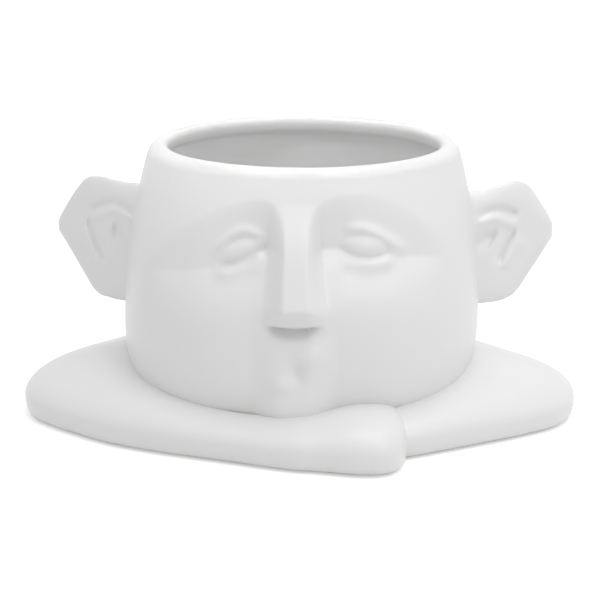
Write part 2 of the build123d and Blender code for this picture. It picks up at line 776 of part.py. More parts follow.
def main():
    os.makedirs("parts", exist_ok=True)
    outside = head_outside()
    left_forearm = arm_sections(-1, left_arm_shares, wrist_turn)
    left_form = Solid.make_loft(left_forearm + hand_sections()[1:], ruled=True)
    hand_form = Solid.make_loft(hand_sections(), ruled=True)
    right_form = Solid.make_loft(arm_sections(1, right_arm_shares, right_forearm_end_turn), ruled=True)
    left_hollow = arm_hollow(-1, left_arm_shares, wrist_turn)
    right_hollow = arm_hollow(1, right_arm_shares, right_forearm_end_turn - arm_hollow_end_gap_turn)
    write("head_bowl", head_bowl(outside))
    left_arm = largest(left_form - outside)
    write("left_arm", largest(left_arm - left_hollow))
    right_arm = largest(largest(right_form - hand_form) - outside)
    write("right_arm", largest(right_arm - right_hollow))
    left = (-1, ear_reach_left, ear_sweep_left, ear_outline_left_shares, ear_lines_left_shares)
    right = (1, ear_reach_right, ear_sweep_right, ear_outline_right_shares, ear_lines_right_shares)
    write("left_ear", largest(ear_solid(*left) - outside))
    write("right_ear", largest(ear_solid(*right) - outside))
    write("drain_plug", drain_plug())
    for row, x, y in (("front", pad_front_x, pad_front_y), ("back", pad_back_x, pad_back_y)):
        write(f"foot_pad_{row}_left", foot_pad(-x, y))
        write(f"foot_pad_{row}_right", foot_pad(x, y))


main()
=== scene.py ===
import bmesh
import bpy
import math
import numpy as np
from functools import partial
from bpy.props import FloatProperty, FloatVectorProperty, IntProperty, PointerProperty
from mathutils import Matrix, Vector


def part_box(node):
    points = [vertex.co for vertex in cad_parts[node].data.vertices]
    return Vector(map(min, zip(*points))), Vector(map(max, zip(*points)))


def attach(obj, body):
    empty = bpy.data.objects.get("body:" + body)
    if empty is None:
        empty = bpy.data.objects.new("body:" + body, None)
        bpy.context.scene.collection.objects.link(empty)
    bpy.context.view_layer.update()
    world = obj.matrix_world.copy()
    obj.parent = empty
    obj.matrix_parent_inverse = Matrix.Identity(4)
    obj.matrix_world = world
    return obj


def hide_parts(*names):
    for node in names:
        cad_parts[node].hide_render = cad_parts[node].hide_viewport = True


bl_info = {
    "name": "Head planter",
    "version": (1, 0, 0),
    "blender": (4, 5, 0),
    "location": "3D View > Sidebar > Planter",
    "description": "Dresses the head planter in satin white glaze and sets it on a pale table",
    "category": "Object",
}

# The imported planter, and what its boxes say about the pieces. Metres, +Z up, the face along -Y.
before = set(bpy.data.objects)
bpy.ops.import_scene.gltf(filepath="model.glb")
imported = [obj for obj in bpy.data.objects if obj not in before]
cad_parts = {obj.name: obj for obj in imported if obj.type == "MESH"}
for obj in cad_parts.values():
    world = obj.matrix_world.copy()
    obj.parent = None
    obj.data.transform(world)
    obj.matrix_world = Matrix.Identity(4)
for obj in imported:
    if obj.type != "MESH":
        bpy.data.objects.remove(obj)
HEAD_LOW, HEAD_HIGH = (Vector(corner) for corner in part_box("head_bowl"))
PLUG_LOW, PLUG_HIGH = (Vector(corner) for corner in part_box("drain_plug"))
CLAY_BOTTOM = HEAD_LOW.z
HEAD_HEIGHT = HEAD_HIGH.z - HEAD_LOW.z
PAD_NODES = [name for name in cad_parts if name.startswith("foot_pad")]

# Head, as a pot. Azimuths are degrees seen from above: 0 is +X and 90 is the back
HEAD_HALF_WIDTH = 0.0774
HEAD_FRONT_DEPTH = 0.0745
HEAD_BACK_DEPTH = 0.077
HEAD_CENTRE_Y = 0.005
HEAD_LEAN = 0.0018
FLOOR_THICKNESS = 0.007
FLOOR_CORNER = 0.016
BEAD_LAND = 0.0005
BEAD_SHOULDER = 0.007
BEAD_UPRIGHT_SHARE = 0.3
BEAD_STEP_SHARE = 0.6
BEAD_START_SHARE = 0.1
BEAD_RINGS = 9
WALL_RINGS = 56
FOOT_RECESS_DEPTH = 0.004
FOOT_RING_WIDTH = 0.008
DRAIN_HOLE_RADIUS = 0.007
FOLLOW_SHARE = 0.4
RING_FRONT_SHARE = 0.55
WAVER_FROM_SHARE = 0.8

# Small edges of the casting: steps out from the hole, the foot or the wall, with their heights
DRAIN_LOWER_EDGE = [(0.0, 0.0004), (0.0004, 0.0)]
DRAIN_UPPER_EDGE = [(0.0006, 0.0001), (0.0003, 0.0003), (0.0001, 0.0006), (0.0, 0.001)]
DRAIN_FLARE = 0.001
RECESS_RADII = [0.016, 0.026]
FOOT_INNER_EDGE = [(0.003, 1.0), (0.0008, 1.0), (0.0002, 0.93), (0.0, 0.75), (0.0, 0.2), (-0.0002, 0.05)]
FOOT_FLAT = 0.0008
FOOT_OUTER_EDGE = [(0.0, 0.001), (0.0002, 0.0002)]

# Nose: a long box with a chamfered tip
NOSE_X = -0.0019
NOSE_ROOT_Z = 0.105
NOSE_TIP_Z = 0.064
NOSE_UNDER_Z = 0.0565
NOSE_DIP = 0.0012
NOSE_DIP_HALF = 0.0045
NOSE_FACET_POWER = 0.25
NOSE_RISE = 0.0125
NOSE_UNDER_RISE = 0.0062
NOSE_UNDERCUT = 0.0018
NOSE_HOLLOW = 0.0042
NOSE_HOLLOW_X = -0.003
NOSE_HOLLOW_Z = 0.0495
NOSE_HOLLOW_HALF = 0.0115
NOSE_RIDGE_HALF_TOP = 0.0044
NOSE_RIDGE_HALF_TIP = 0.0054
NOSE_BASE_HALF_TOP = 0.0104
NOSE_BASE_HALF_TIP = 0.0134
NOSE_SOFTNESS = 0.0016
NOSTRIL_X = 0.01
NOSTRIL_Z = 0.061
NOSTRIL_RISE = 0.002
NOSTRIL_REACH = 0.005

# Eye sockets: down from the brow to the line where the cheek begins, and out along the cheek
SOCKET_DEPTH_INNER = 0.0096
SOCKET_DEPTH_OUTER = 0.0052
SOCKET_INNER_X = 0.014
SOCKET_OUTER_X = 0.046
TEMPLE_X = 0.066
TEMPLE_FADE = 0.02
CHEEK_SLOPE_HEIGHT = 0.026

# Eyes
EYE_HALF_LENGTH = 0.0096
EYE_HALF_HEIGHT = 0.0058
EYE_BALL_SHARE = 0.85
EYE_RISE = 0.0029
UPPER_LID_RISE = 0.0019
UPPER_LID_WIDTH = 0.0022
LOWER_LID_RISE = 0.0029
LOWER_LID_WIDTH = 0.001
LOWER_LID_FALL = 0.0038

# Cheeks and muzzle
CHEEK_X = 0.034
CHEEK_Z = 0.062
CHEEK_RISE = 0.0018
CHEEK_HALF_WIDTH = 0.024
CHEEK_HALF_HEIGHT = 0.02
MUZZLE_X = -0.0026
MUZZLE_Z = 0.051
MUZZLE_RISE = 0.0039
MUZZLE_FLAT_HALF = 0.006
MUZZLE_HALF = 0.019
MUZZLE_FADE = 0.012

# Swells of the mouth and chin: x, z, rise, half width and half height
MOUTH_SWELLS = {
    "mouth": (-0.0016, 0.0366, -0.0026, 0.0034, 0.0042),
    "upper lip": (0.0036, 0.0436, 0.0014, 0.0054, 0.004),
    "lower lip": (-0.0082, 0.0318, 0.0021, 0.0054, 0.004),
    "chin": (-0.004, 0.015, 0.0052, 0.015, 0.012),
}

# Ears, each swept back from the side of the head
EAR_ROOT_Y = 0.003
EAR_INTO_HEAD = 0.003
EAR_ROOT_SHARE = -0.28
EAR_MIDDLE_Z = 0.0708
EAR_HALF_HEIGHT = 0.0278
EAR_THICKNESS_ROOT = 0.013
EAR_THICKNESS_TIP = 0.007
EAR_TIP_START_SHARE = 0.9
EAR_TIP_SHARE = 0.1
EAR_SQUARENESS = 4
EAR_ROW_POWER = 0.8

# Lines on the front of an ear: how far each stands out, or in where it is below 0, and its width
EAR_CUTS = {
    "groove": (-0.0028, 0.0021),
    "fold": (0.0016, 0.0022),
    "slit": (-0.0022, 0.0016),
    "helix": (0.0013, 0.0028),
    "shell": (-0.0032, 0.0037),
}

# Folded arms, as turns in degrees from the seam at the back
ELBOW_REACH = 0.121
SHOULDER_HEIGHT = 0.031
ARM_BELLY_HEIGHT = 0.0075
ARM_TUCK = 0.0026
ARM_CROWN_SHARE = 0.37
ARM_INNER_FALL = 0.005
ARM_INTO_HEAD = 0.003
ARM_UNDER_RADIUS = 0.05
ARM_UNDER_STEP = 0.004
LEFT_ARM_RINGS = 160
RIGHT_ARM_RINGS = 140
ARM_UNDER_RISE = 0.0003
WRIST_TURN = 180.0
HAND_LENGTH = 0.0438
HAND_REACH = 0.1051
HAND_MIDDLE = 0.078
HAND_INNER = 0.052
HAND_STRETCH = 2.8
HAND_SWELL = 0.36
HAND_SWELL_SHARE = 0.6
HAND_ROUND_SHARE = 0.62
HAND_BLUNTNESS = (2.6, 5.0)
RIGHT_FOREARM_END_TURN = 157.0

# Silicone stopper and pads
PLUG_FLANGE_RADIUS = 0.011
PLUG_FLANGE_HEIGHT = 0.0018
PLUG_TIP_RISE = 0.001
PLUG_TIP_TAPER = 0.0009
PLUG_TIP_STEP = 0.0006
PLUG_GROOVE = 0.0005
PLUG_GRIP_LENGTH = 0.012
PLUG_GRIP_WIDTH = 0.0024
PLUG_GRIP_SINK = 0.0006
PLUG_RING_RADII = (0.004, 0.0046, 0.0052)
PLUG_PRESS = 0.0001
PLUG_RIB_SHARES = (0.3, 0.6, 0.9)
PLUG_RIB = [(-0.0006, 0.0), (-0.0004, 0.7), (0.0, 1.0), (0.0004, 0.7), (0.0006, 0.0)]
SOFT_EDGE = 0.0007
FINE_EDGE = 0.0003
FINEST_EDGE = 0.0002
AXIS_RADIUS = 0.0001
PLUG_POINTS = 96
PAD_POINTS = 72
PAD_DIMPLE = 0.00005
PAD_DIMPLE_SHARES = (0.55, 0.62)
PAD_EDGE = 0.0005
PAD_ROUND = 0.0004
PAD_FINE = 0.0001

# Surface of the glaze, clay and silicone: heights in metres, and colours that mix in
CLAY_ROUGHNESS = 0.86
RAGGED_EDGE = 0.0009
FOOT_LINE_SOFTNESS = (-0.0001, 0.0002)
DRIFT_HEIGHT = 0.00012
PIN_DEPTH = 0.00008
GRAIN_HEIGHT = 0.00004
GLAZE_THICKNESS = 0.0001
MOULD_HEIGHT = 0.000012
DARK_CLAY = (0.5, 0.44, 0.37, 1.0)
HAZE = (0.66, 0.67, 0.66, 1.0)
DUST = (0.52, 0.49, 0.44, 1.0)
CLOUD_RANGE = (0.15, 0.85)

# Stage, in metres and degrees
TABLE_HALF = 3.0
TABLE_FAINT_SHARE = 0.985
TABLE_ROUGHNESS = 0.9
TABLE_SHINE = 0.1
WHITE = (1.0, 1.0, 1.0, 1.0)
KEY_PLACE, KEY_SIZE = (0.75, -0.8, 0.95), (0.7, 0.7)
TOP_PLACE, TOP_SIZE = (0.15, -0.05, 1.1), (0.8, 0.8)
MOUTH_PLACE, MOUTH_SIZE, MOUTH_SPREAD = (-0.2, -0.3, 0.65), (0.12, 0.12), 10.0
SENSOR_WIDTH_MM = 36.0

# Rows up the head: height share, half-width share, front share, back share and squareness
HEAD_PROFILE_SHARES = [
    (0.0, 0.66, 0.66, 0.66, 2.2), (0.026, 0.745, 0.755, 0.745, 2.3),
    (0.077, 0.86, 0.865, 0.86, 2.5), (0.128, 0.928, 0.925, 0.928, 2.6),
    (0.179, 0.964, 0.96, 0.964, 2.6), (0.239, 0.986, 0.984, 0.986, 2.6),
    (0.315, 0.998, 0.998, 0.998, 2.6), (0.4, 1.0, 1.0, 1.0, 2.55),
    (0.511, 0.992, 0.99, 0.99, 2.45), (0.631, 0.978, 0.97, 0.97, 2.35),
    (0.75, 0.953, 0.948, 0.945, 2.2), (0.844, 0.921, 0.918, 0.915, 2.1),
    (0.912, 0.897, 0.893, 0.89, 2.03), (0.963, 0.876, 0.873, 0.867, 2.0),
    (1.0, 0.858, 0.86, 0.852, 2.0),
]

# Lines across the face: shares of the head's half width from its middle, and of its height
BROW_RIGHT_SHARES = [
    (0.039, 0.844), (0.084, 0.88), (0.155, 0.909), (0.258, 0.92), (0.388, 0.912),
    (0.517, 0.876), (0.628, 0.824), (0.724, 0.754), (0.801, 0.691),
]
BROW_LEFT_SHARES = [
    (-0.853, 0.631), (-0.736, 0.716), (-0.62, 0.784), (-0.491, 0.84), (-0.366, 0.878),
    (-0.261, 0.9), (-0.187, 0.904), (-0.129, 0.885), (-0.088, 0.848),
]
CHEEK_RIGHT_SHARES = [
    (0.039, 0.716), (0.129, 0.725), (0.226, 0.72), (0.284, 0.701), (0.368, 0.692),
    (0.439, 0.69), (0.497, 0.694), (0.62, 0.686), (0.736, 0.676), (0.801, 0.664),
]
CHEEK_LEFT_SHARES = [
    (-0.853, 0.614), (-0.795, 0.616), (-0.689, 0.627), (-0.581, 0.639), (-0.465, 0.655),
    (-0.388, 0.67), (-0.284, 0.696), (-0.209, 0.72), (-0.155, 0.729), (-0.088, 0.725),
]

# Lid lines: shares of the eye's half length and half height from its centre
UPPER_LID_RIGHT_SHARES = [
    (-0.94, 1.02), (-0.6, 1.29), (-0.21, 1.36), (0.21, 1.22), (0.62, 0.9),
    (0.99, 0.52), (1.34, 0.07), (1.69, -0.38), (2.02, -0.79),
]
UPPER_LID_LEFT_SHARES = [
    (-1.44, -0.74), (-1.1, 0.0), (-0.82, 0.57), (-0.53, 1.05), (-0.17, 1.41),
    (0.21, 1.48), (0.6, 1.22), (0.91, 0.64), (1.06, -0.26),
]
LOWER_LID_RIGHT_SHARES = [
    (-1.08, -0.36), (-0.77, -0.66), (-0.42, -0.86), (-0.01, -0.98), (0.41, -1.0),
    (0.82, -0.91), (1.24, -0.74), (1.58, -0.59),
]
LOWER_LID_LEFT_SHARES = [
    (-1.35, -1.19), (-1.04, -1.33), (-0.68, -1.34), (-0.31, -1.19), (0.05, -0.97),
    (0.42, -0.66), (0.78, -0.24), (1.08, 0.19),
]

# Each eye: x and z of its centre, slant in degrees, and its upper and lower lid
EYES = [
    (0.026, 0.086, -5.0, UPPER_LID_RIGHT_SHARES, LOWER_LID_RIGHT_SHARES),
    (-0.0236, 0.0843, 19.0, UPPER_LID_LEFT_SHARES, LOWER_LID_LEFT_SHARES),
]

# Ear outlines from the head outwards: reach share, then bottom and top shares of the half height
EAR_OUTLINE_LEFT_SHARES = [
    (-0.42, -0.88, 1.04), (0.0, -0.89, 1.04), (0.13, -0.89, 1.06), (0.25, -0.87, 1.08),
    (0.4, -0.83, 1.08), (0.5, -0.73, 1.06), (0.58, -0.59, 1.0), (0.67, -0.43, 0.88),
    (0.8, -0.2, 0.67), (0.91, -0.01, 0.46), (1.0, 0.14, 0.28),
]
EAR_OUTLINE_RIGHT_SHARES = [
    (-0.39, -0.92, 0.88), (0.0, -0.94, 0.9), (0.14, -0.94, 0.92), (0.31, -0.93, 0.97),
    (0.42, -0.89, 1.0), (0.52, -0.82, 1.0), (0.6, -0.7, 0.97), (0.68, -0.55, 0.9),
    (0.8, -0.33, 0.69), (0.91, -0.12, 0.48), (1.0, 0.05, 0.28),
]

# Lines on the front of each ear: reach share and half-height share
EAR_LINES_LEFT_SHARES = {
    "groove": [
        (-0.17, 0.53), (-0.08, 0.6), (0.03, 0.66), (0.2, 0.7), (0.38, 0.63),
        (0.49, 0.56), (0.59, 0.45),
    ],
    "fold": [
        (-0.1, 0.41), (-0.03, 0.49), (0.08, 0.56), (0.21, 0.6), (0.34, 0.55),
        (0.45, 0.48), (0.53, 0.4),
    ],
    "slit": [
        (0.57, 0.46), (0.56, 0.37), (0.55, 0.25), (0.53, 0.16), (0.47, -0.03),
        (0.39, -0.2), (0.36, -0.31),
    ],
    "helix": [(0.65, 0.31), (0.63, 0.12), (0.57, -0.06), (0.49, -0.21), (0.4, -0.38)],
    "shell": [(0.25, 0.29), (0.15, 0.26), (0.04, 0.19), (-0.05, 0.09), (-0.12, -0.02)],
}
EAR_LINES_RIGHT_SHARES = {
    "groove": [(-0.02, 0.46), (0.1, 0.54), (0.23, 0.58), (0.38, 0.57), (0.5, 0.5), (0.61, 0.4)],
    "fold": [(0.0, 0.37), (0.12, 0.44), (0.27, 0.48), (0.41, 0.4), (0.5, 0.34), (0.6, 0.27)],
    "slit": [(0.5, 0.31), (0.49, 0.16), (0.42, -0.01), (0.36, -0.2), (0.33, -0.31)],
    "helix": [(0.61, 0.18), (0.59, 0.02), (0.51, -0.13), (0.44, -0.29), (0.39, -0.43)],
    "shell": [(-0.04, 0.04), (0.04, 0.1), (0.13, 0.14), (0.23, 0.14), (0.28, 0.1)],
}

# Each ear: side, reach, sweep in degrees, outline and lines
EARS = {
    "left_ear": (-1, 0.033, 26.0, EAR_OUTLINE_LEFT_SHARES, EAR_LINES_LEFT_SHARES),
    "right_ear": (1, 0.036, 18.0, EAR_OUTLINE_RIGHT_SHARES, EAR_LINES_RIGHT_SHARES),
}

# Rows round an arm from the back seam: turn in degrees, reach share, crest share of the reach,
# height share, and how steeply the top falls to the edge, where 1 is a plain ellipse
LEFT_ARM_SHARES = [
    (0.0, 0.762, 0.8, 0.68, 1.2), (25.0, 0.78, 0.79, 0.68, 1.2),
    (45.0, 0.82, 0.74, 0.68, 1.3), (60.0, 0.862, 0.69, 0.69, 1.4),
    (70.0, 0.91, 0.64, 0.73, 1.43), (80.0, 0.965, 0.6, 0.81, 1.43),
    (90.0, 1.0, 0.58, 0.92, 1.43), (98.0, 1.008, 0.58, 0.97, 1.43),
    (104.0, 0.998, 0.59, 0.93, 1.4), (110.0, 0.958, 0.62, 0.865, 1.35),
    (118.0, 0.905, 0.665, 0.78, 1.3), (127.0, 0.861, 0.715, 0.71, 1.15),
    (139.0, 0.806, 0.785, 0.61, 1.0), (154.0, 0.768, 0.8, 0.525, 0.88),
    (165.0, 0.773, 0.8, 0.51, 0.85), (174.0, 0.799, 0.795, 0.525, 0.85),
    (180.0, 0.823, 0.79, 0.55, 0.85),
]
RIGHT_ARM_SHARES = [
    (0.0, 0.762, 0.8, 0.68, 1.2), (25.0, 0.78, 0.79, 0.66, 1.2),
    (45.0, 0.82, 0.74, 0.62, 1.3), (60.0, 0.862, 0.68, 0.59, 1.4),
    (70.0, 0.905, 0.62, 0.61, 1.43), (80.0, 0.96, 0.57, 0.68, 1.43),
    (90.0, 0.993, 0.55, 0.8, 1.43), (98.0, 1.005, 0.55, 0.88, 1.43),
    (104.0, 1.006, 0.57, 0.89, 1.43), (110.0, 0.983, 0.6, 0.86, 1.4),
    (118.0, 0.915, 0.655, 0.79, 1.35), (128.0, 0.842, 0.72, 0.7, 1.15),
    (139.0, 0.795, 0.79, 0.595, 1.0), (152.0, 0.775, 0.81, 0.515, 0.9),
    (165.0, 0.77, 0.81, 0.5, 0.85),
]


# Settings that a user would change


def length_prop(name, description, default, **limits):
    return FloatProperty(name=name, description=description, default=default, unit="LENGTH", **limits)


def colour_prop(name, description, default):
    return FloatVectorProperty(name=name, description=description, default=default, size=3, subtype="COLOR")


def factor_prop(name, description, default):
    return FloatProperty(name=name, description=description, default=default, min=0, max=1, subtype="FACTOR")


class PlanterShape(bpy.types.PropertyGroup):
    """Sizes of the castings and how finely their skins are drawn."""

    wall: length_prop("Wall", "Thickness of the head's wall", 0.0058, min=0.003)
    bead_radius: length_prop("Rim bead", "Radius of the rounded rim", 0.0042, min=0.001)
    glaze_softness: length_prop("Softness", "How far the glaze rounds an edge", 0.0007, min=0.0)
    waver: length_prop("Waver", "How far the rim wavers, as a cast rim does", 0.0003)
    ring_points: IntProperty(
        name="Ring points", description="Points in each ring of the head", default=480, min=64
    )
    ring_gap: length_prop("Ring gap", "Height between rings of the head", 0.0007, min=0.0004)


class GlazeLook(bpy.types.PropertyGroup):
    """Colours and finish of the glaze and of the bare clay under the foot."""

    colour: colour_prop("Glaze", "Colour of the glaze", (0.85, 0.853, 0.847))
    thin_colour: colour_prop("Thin glaze", "Colour on sharp edges", (0.85, 0.84, 0.815))
    pool_colour: colour_prop("Pooled glaze", "Colour in the creases", (0.81, 0.822, 0.82))
    clay_colour: colour_prop("Bare clay", "Colour of the unglazed foot", (0.72, 0.67, 0.6))
    roughness: factor_prop("Roughness", "How satin the glaze is", 0.4)
    peel: length_prop("Peel", "Depth of the glaze's fine ripples", 0.000012, precision=6)
    foot_line: length_prop("Foot line", "Height that is wiped clean of glaze", 0.0016, precision=4)


class SiliconeLook(bpy.types.PropertyGroup):
    """Colour and finish of the stopper and pads."""

    colour: colour_prop("Silicone", "Colour of the silicone", (0.74, 0.74, 0.72))
    roughness: factor_prop("Roughness", "How matte the silicone is", 0.48)


class StageLook(bpy.types.PropertyGroup):
    """Camera, lamps and floor."""

    camera_distance: length_prop("Distance", "From the camera to the planter", 0.95)
    camera_elevation: FloatProperty(
        name="Elevation", description="Camera's angle", default=math.radians(15.0), subtype="ANGLE"
    )
    camera_lens: FloatProperty(name="Lens", description="Focal length in millimetres", default=129.5)
    aim_height: length_prop("Aim", "Height that the camera looks at", 0.048)
    floor_colour: colour_prop("Floor", "Colour of the floor", (0.84, 0.84, 0.84))
    floor_lift: factor_prop("Floor lift", "Light that the floor adds where it is seen", 0.46)
    key_power: FloatProperty(name="Key", description="Watts of the key lamp", default=2.45)
    top_power: FloatProperty(name="Top", description="Watts of the lamp overhead", default=3.45)
    mouth_power: FloatProperty(
        name="Mouth", description="Watts of the narrow lamp into the mouth", default=0.0141, precision=4
    )
    ambient: FloatProperty(name="Ambient", description="Strength of the light all round", default=0.63)


# Shapes of lines and swells


def clamp(value):
    return np.clip(value, 0.0, 1.0)


def between(start, end, share):
    return start + (end - start) * share


def ease(value, start, end):
    """0 at start and 1 at end, whichever of the two is larger."""
    share = clamp((value - start) / (end - start))
    return share * share * (3 - 2 * share)


def swell(across, reach_x, up, reach_z):
    return np.exp(-((across / reach_x) ** 2) - (up / reach_z) ** 2)


def through(places, values, place):
    """The value at a place on a smooth line through values at places, level beyond its ends."""
    places, values = np.asarray(places, float), np.asarray(values, float)
    slopes = np.gradient(values, places)
    place = np.clip(place, places[0], places[-1])
    low = np.clip(np.searchsorted(places, place) - 1, 0, len(places) - 2)
    span = places[low + 1] - places[low]
    t = (place - places[low]) / span
    return (
        values[low] * (2 * t**3 - 3 * t**2 + 1)
        + slopes[low] * span * (t**3 - 2 * t**2 + t)
        + values[low + 1] * (3 * t**2 - 2 * t**3)
        + slopes[low + 1] * span * (t**3 - t**2)
    )


def row_at(rows, place):
    """Each column of a table of rows at a place in its first column."""
    columns = list(zip(*rows))
    return [through(columns[0], column, place) for column in columns[1:]]


def fold(line, x, z, reach, reach_below=None):
    """A soft ridge of height 1 along (x, z) points from left to right; reach_below is for its lower side."""
    order = np.arange(len(line))
    steps = np.linspace(0, len(line) - 1, 4 * len(line) - 3)
    points = np.stack([through(order, column, steps) for column in zip(*line)], 1)
    nearest = np.full(np.shape(x), np.inf)
    share = np.zeros(np.shape(x))
    width = np.full(np.shape(x), reach)
    for i, (start, end) in enumerate(zip(points, points[1:])):
        run = end - start
        t = clamp(((x - start[0]) * run[0] + (z - start[1]) * run[1]) / (run @ run))
        gap = np.hypot(x - start[0] - t * run[0], z - start[1] - t * run[1])
        share = np.where(gap < nearest, (i + t) / (len(points) - 1), share)
        if reach_below:
            above = run[0] * (z - start[1]) > run[1] * (x - start[0])
            width = np.where(gap < nearest, np.where(above, reach, reach_below), width)
        nearest = np.minimum(gap, nearest)
    return np.exp(-((nearest / width) ** 2)) * ease(share, 0, 0.25) * ease(share, 1, 0.75)


# The face


def nose(x, z):
    """How much of a point belongs to the nose, and the nose's height there."""
    down = clamp((NOSE_ROOT_Z - z) / (NOSE_ROOT_Z - NOSE_TIP_Z))
    across = np.hypot(x - NOSE_X, NOSE_SOFTNESS)
    ridge = between(NOSE_RIDGE_HALF_TOP, NOSE_RIDGE_HALF_TIP, down)
    base = between(NOSE_BASE_HALF_TOP, NOSE_BASE_HALF_TIP, down**1.5)
    side = clamp((base - across) / (base - ridge))
    share = (side + ease(side, 0, 1)) / 2
    bridge = NOSE_RISE * down * ease(down, -0.5, 0.4)
    under = NOSE_UNDER_Z - NOSE_DIP * np.exp(-((x - NOSE_X) / NOSE_DIP_HALF) ** 2)
    chamfer_down = np.minimum((NOSE_TIP_Z - z) / (NOSE_TIP_Z - NOSE_UNDER_Z), 1)
    chamfer = between(NOSE_RISE, NOSE_UNDER_RISE, chamfer_down)
    height = np.minimum(bridge, chamfer / np.maximum(share, 0.05) ** NOSE_FACET_POWER)
    return share, height * ease(z, under - NOSE_UNDERCUT, under)


def nose_hollow(x, z):
    """Depth of the shadowed hollow under the nose, wide at the top and pointed below."""
    up = clamp((z - NOSE_HOLLOW_Z) / (NOSE_UNDER_Z - NOSE_HOLLOW_Z))
    half = NOSE_HOLLOW_HALF * np.sqrt(up) + NOSE_SOFTNESS
    beside = ease(np.abs(x - NOSE_HOLLOW_X), half, half / 2)
    return NOSE_HOLLOW * beside * ease(up, 0, 0.5) * ease(z, NOSE_UNDER_Z, NOSE_UNDER_Z - NOSE_UNDERCUT)


def socket(x, z):
    """Depth of an eye socket: down from the brow, then out again along the slope of the cheek."""
    across = x / HEAD_HALF_WIDTH
    brow, cheek = [
        HEAD_HEIGHT * np.where(x > NOSE_X, through(*zip(*right), across), through(*zip(*left), across))
        for right, left in ((BROW_RIGHT_SHARES, BROW_LEFT_SHARES), (CHEEK_RIGHT_SHARES, CHEEK_LEFT_SHARES))
    ]
    down = clamp((brow - z) / (brow - cheek))
    slope = down * ease(down, -0.6, 0.5)
    shelf = (1 - clamp((cheek - z) / CHEEK_SLOPE_HEIGHT)) ** 2
    from_nose = np.abs(x - NOSE_X)
    depth = between(SOCKET_DEPTH_INNER, SOCKET_DEPTH_OUTER, ease(from_nose, SOCKET_INNER_X, SOCKET_OUTER_X))
    return depth * slope * shelf * ease(from_nose, TEMPLE_X, TEMPLE_X - TEMPLE_FADE)


def eye(x, z, centre_x, centre_z, slant, upper_shares, lower_shares):
    """Ball and lids of one eye."""
    turn = math.radians(slant)
    along = (x - centre_x) * math.cos(turn) + (z - centre_z) * math.sin(turn)
    up = (z - centre_z) * math.cos(turn) - (x - centre_x) * math.sin(turn)
    share = np.hypot(along / EYE_HALF_LENGTH, up / EYE_HALF_HEIGHT / EYE_BALL_SHARE)
    ball = EYE_RISE * clamp(1 - share**2) ** 0.85
    upper, lower = [
        [(centre_x + a * EYE_HALF_LENGTH, centre_z + b * EYE_HALF_HEIGHT) for a, b in shares]
        for shares in (upper_shares, lower_shares)
    ]
    upper_lid = UPPER_LID_RISE * fold(upper, x, z, UPPER_LID_WIDTH)
    return ball + upper_lid + LOWER_LID_RISE * fold(lower, x, z, LOWER_LID_WIDTH, LOWER_LID_FALL)


def muzzle(x, z):
    """The soft block from nose to chin, with pursed lips and chin."""
    side = ease(np.abs(x - MUZZLE_X), MUZZLE_HALF, MUZZLE_FLAT_HALF)
    total = MUZZLE_RISE * side * ease(z, MUZZLE_Z + MUZZLE_FADE / 2, MUZZLE_Z - MUZZLE_FADE / 2)
    for middle_x, middle_z, rise, half_width, half_height in MOUTH_SWELLS.values():
        total = total + rise * swell(x - middle_x, half_width, z - middle_z, half_height)
    return total - nose_hollow(x, z)


def crisp_relief(x, z):
    """How far the face stands out of the plain pot, along -Y, before glaze rounds its edges."""
    share, height = nose(x, z)
    from_nose = np.abs(x - NOSE_X)
    cheek = CHEEK_RISE * swell(from_nose - CHEEK_X, CHEEK_HALF_WIDTH, z - CHEEK_Z, CHEEK_HALF_HEIGHT)
    nostril = NOSTRIL_RISE * swell(from_nose - NOSTRIL_X, NOSTRIL_REACH, z - NOSTRIL_Z, NOSTRIL_REACH)
    beside = sum(eye(x, z, *each) for each in EYES) - socket(x, z) + cheek + nostril
    return share * height + (1 - share) * beside + muzzle(x, z)


def face_relief(x, z, softness):
    """The face as it shows, with its edges rounded by the glaze."""
    around = [(0, 0), (softness, 0), (-softness, 0), (0, softness), (0, -softness)]
    return sum(crisp_relief(x + dx, z + dz) for dx, dz in around) / len(around)


# Meshes


def skin(name, rings, material, body, nodes, ends_closed=True):
    """A smooth skin over closed rings of points; without closed ends, the last ring joins the first."""
    points = np.concatenate(rings)
    count, columns = len(rings), len(rings[0])
    row = np.arange(count - 1 if ends_closed else count)[:, None]
    low, high = row * columns, (row + 1) % count * columns
    near = np.arange(columns)[None]
    far = (near + 1) % columns
    faces = np.stack([low + near, low + far, high + far, high + near], -1).reshape(-1, 4).tolist()
    if ends_closed:
        faces += [list(range(columns))[::-1], list(range((count - 1) * columns, count * columns))]
    mesh = bpy.data.meshes.new(name)
    mesh.from_pydata(points.tolist(), [], faces)
    return dress(name, mesh, material, body, nodes)


def dress(name, mesh, material, body, nodes):
    """Puts a mesh in the scene with outward faces, a material and its place on the planter."""
    work = bmesh.new()
    work.from_mesh(mesh)
    bmesh.ops.recalc_face_normals(work, faces=work.faces)
    work.to_mesh(mesh)
    work.free()
    mesh.polygons.foreach_set("use_smooth", [True] * len(mesh.polygons))
    mesh.update()
    made = bpy.data.objects.new(name, mesh)
    bpy.context.scene.collection.objects.link(made)
    made.data.materials.append(material)
    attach(made, body)
    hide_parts(*nodes)
    return made


def lathe(profile, centre, points):
    """Rings round an upright axis from (radius, height) pairs."""
    angle = np.linspace(0, 2 * math.pi, points, endpoint=False)
    cos, sin = np.cos(angle), np.sin(angle)
    return [
        np.stack([centre[0] + radius * cos, centre[1] + radius * sin, np.full(points, z)], 1)
        for radius, z in profile
    ]


# The head


def ring_azimuths(points):
    """Azimuths round the head, closest together across the face."""
    turn = np.linspace(-math.pi, math.pi, points, endpoint=False)
    return -90 + np.degrees(turn - RING_FRONT_SHARE * np.sin(turn))


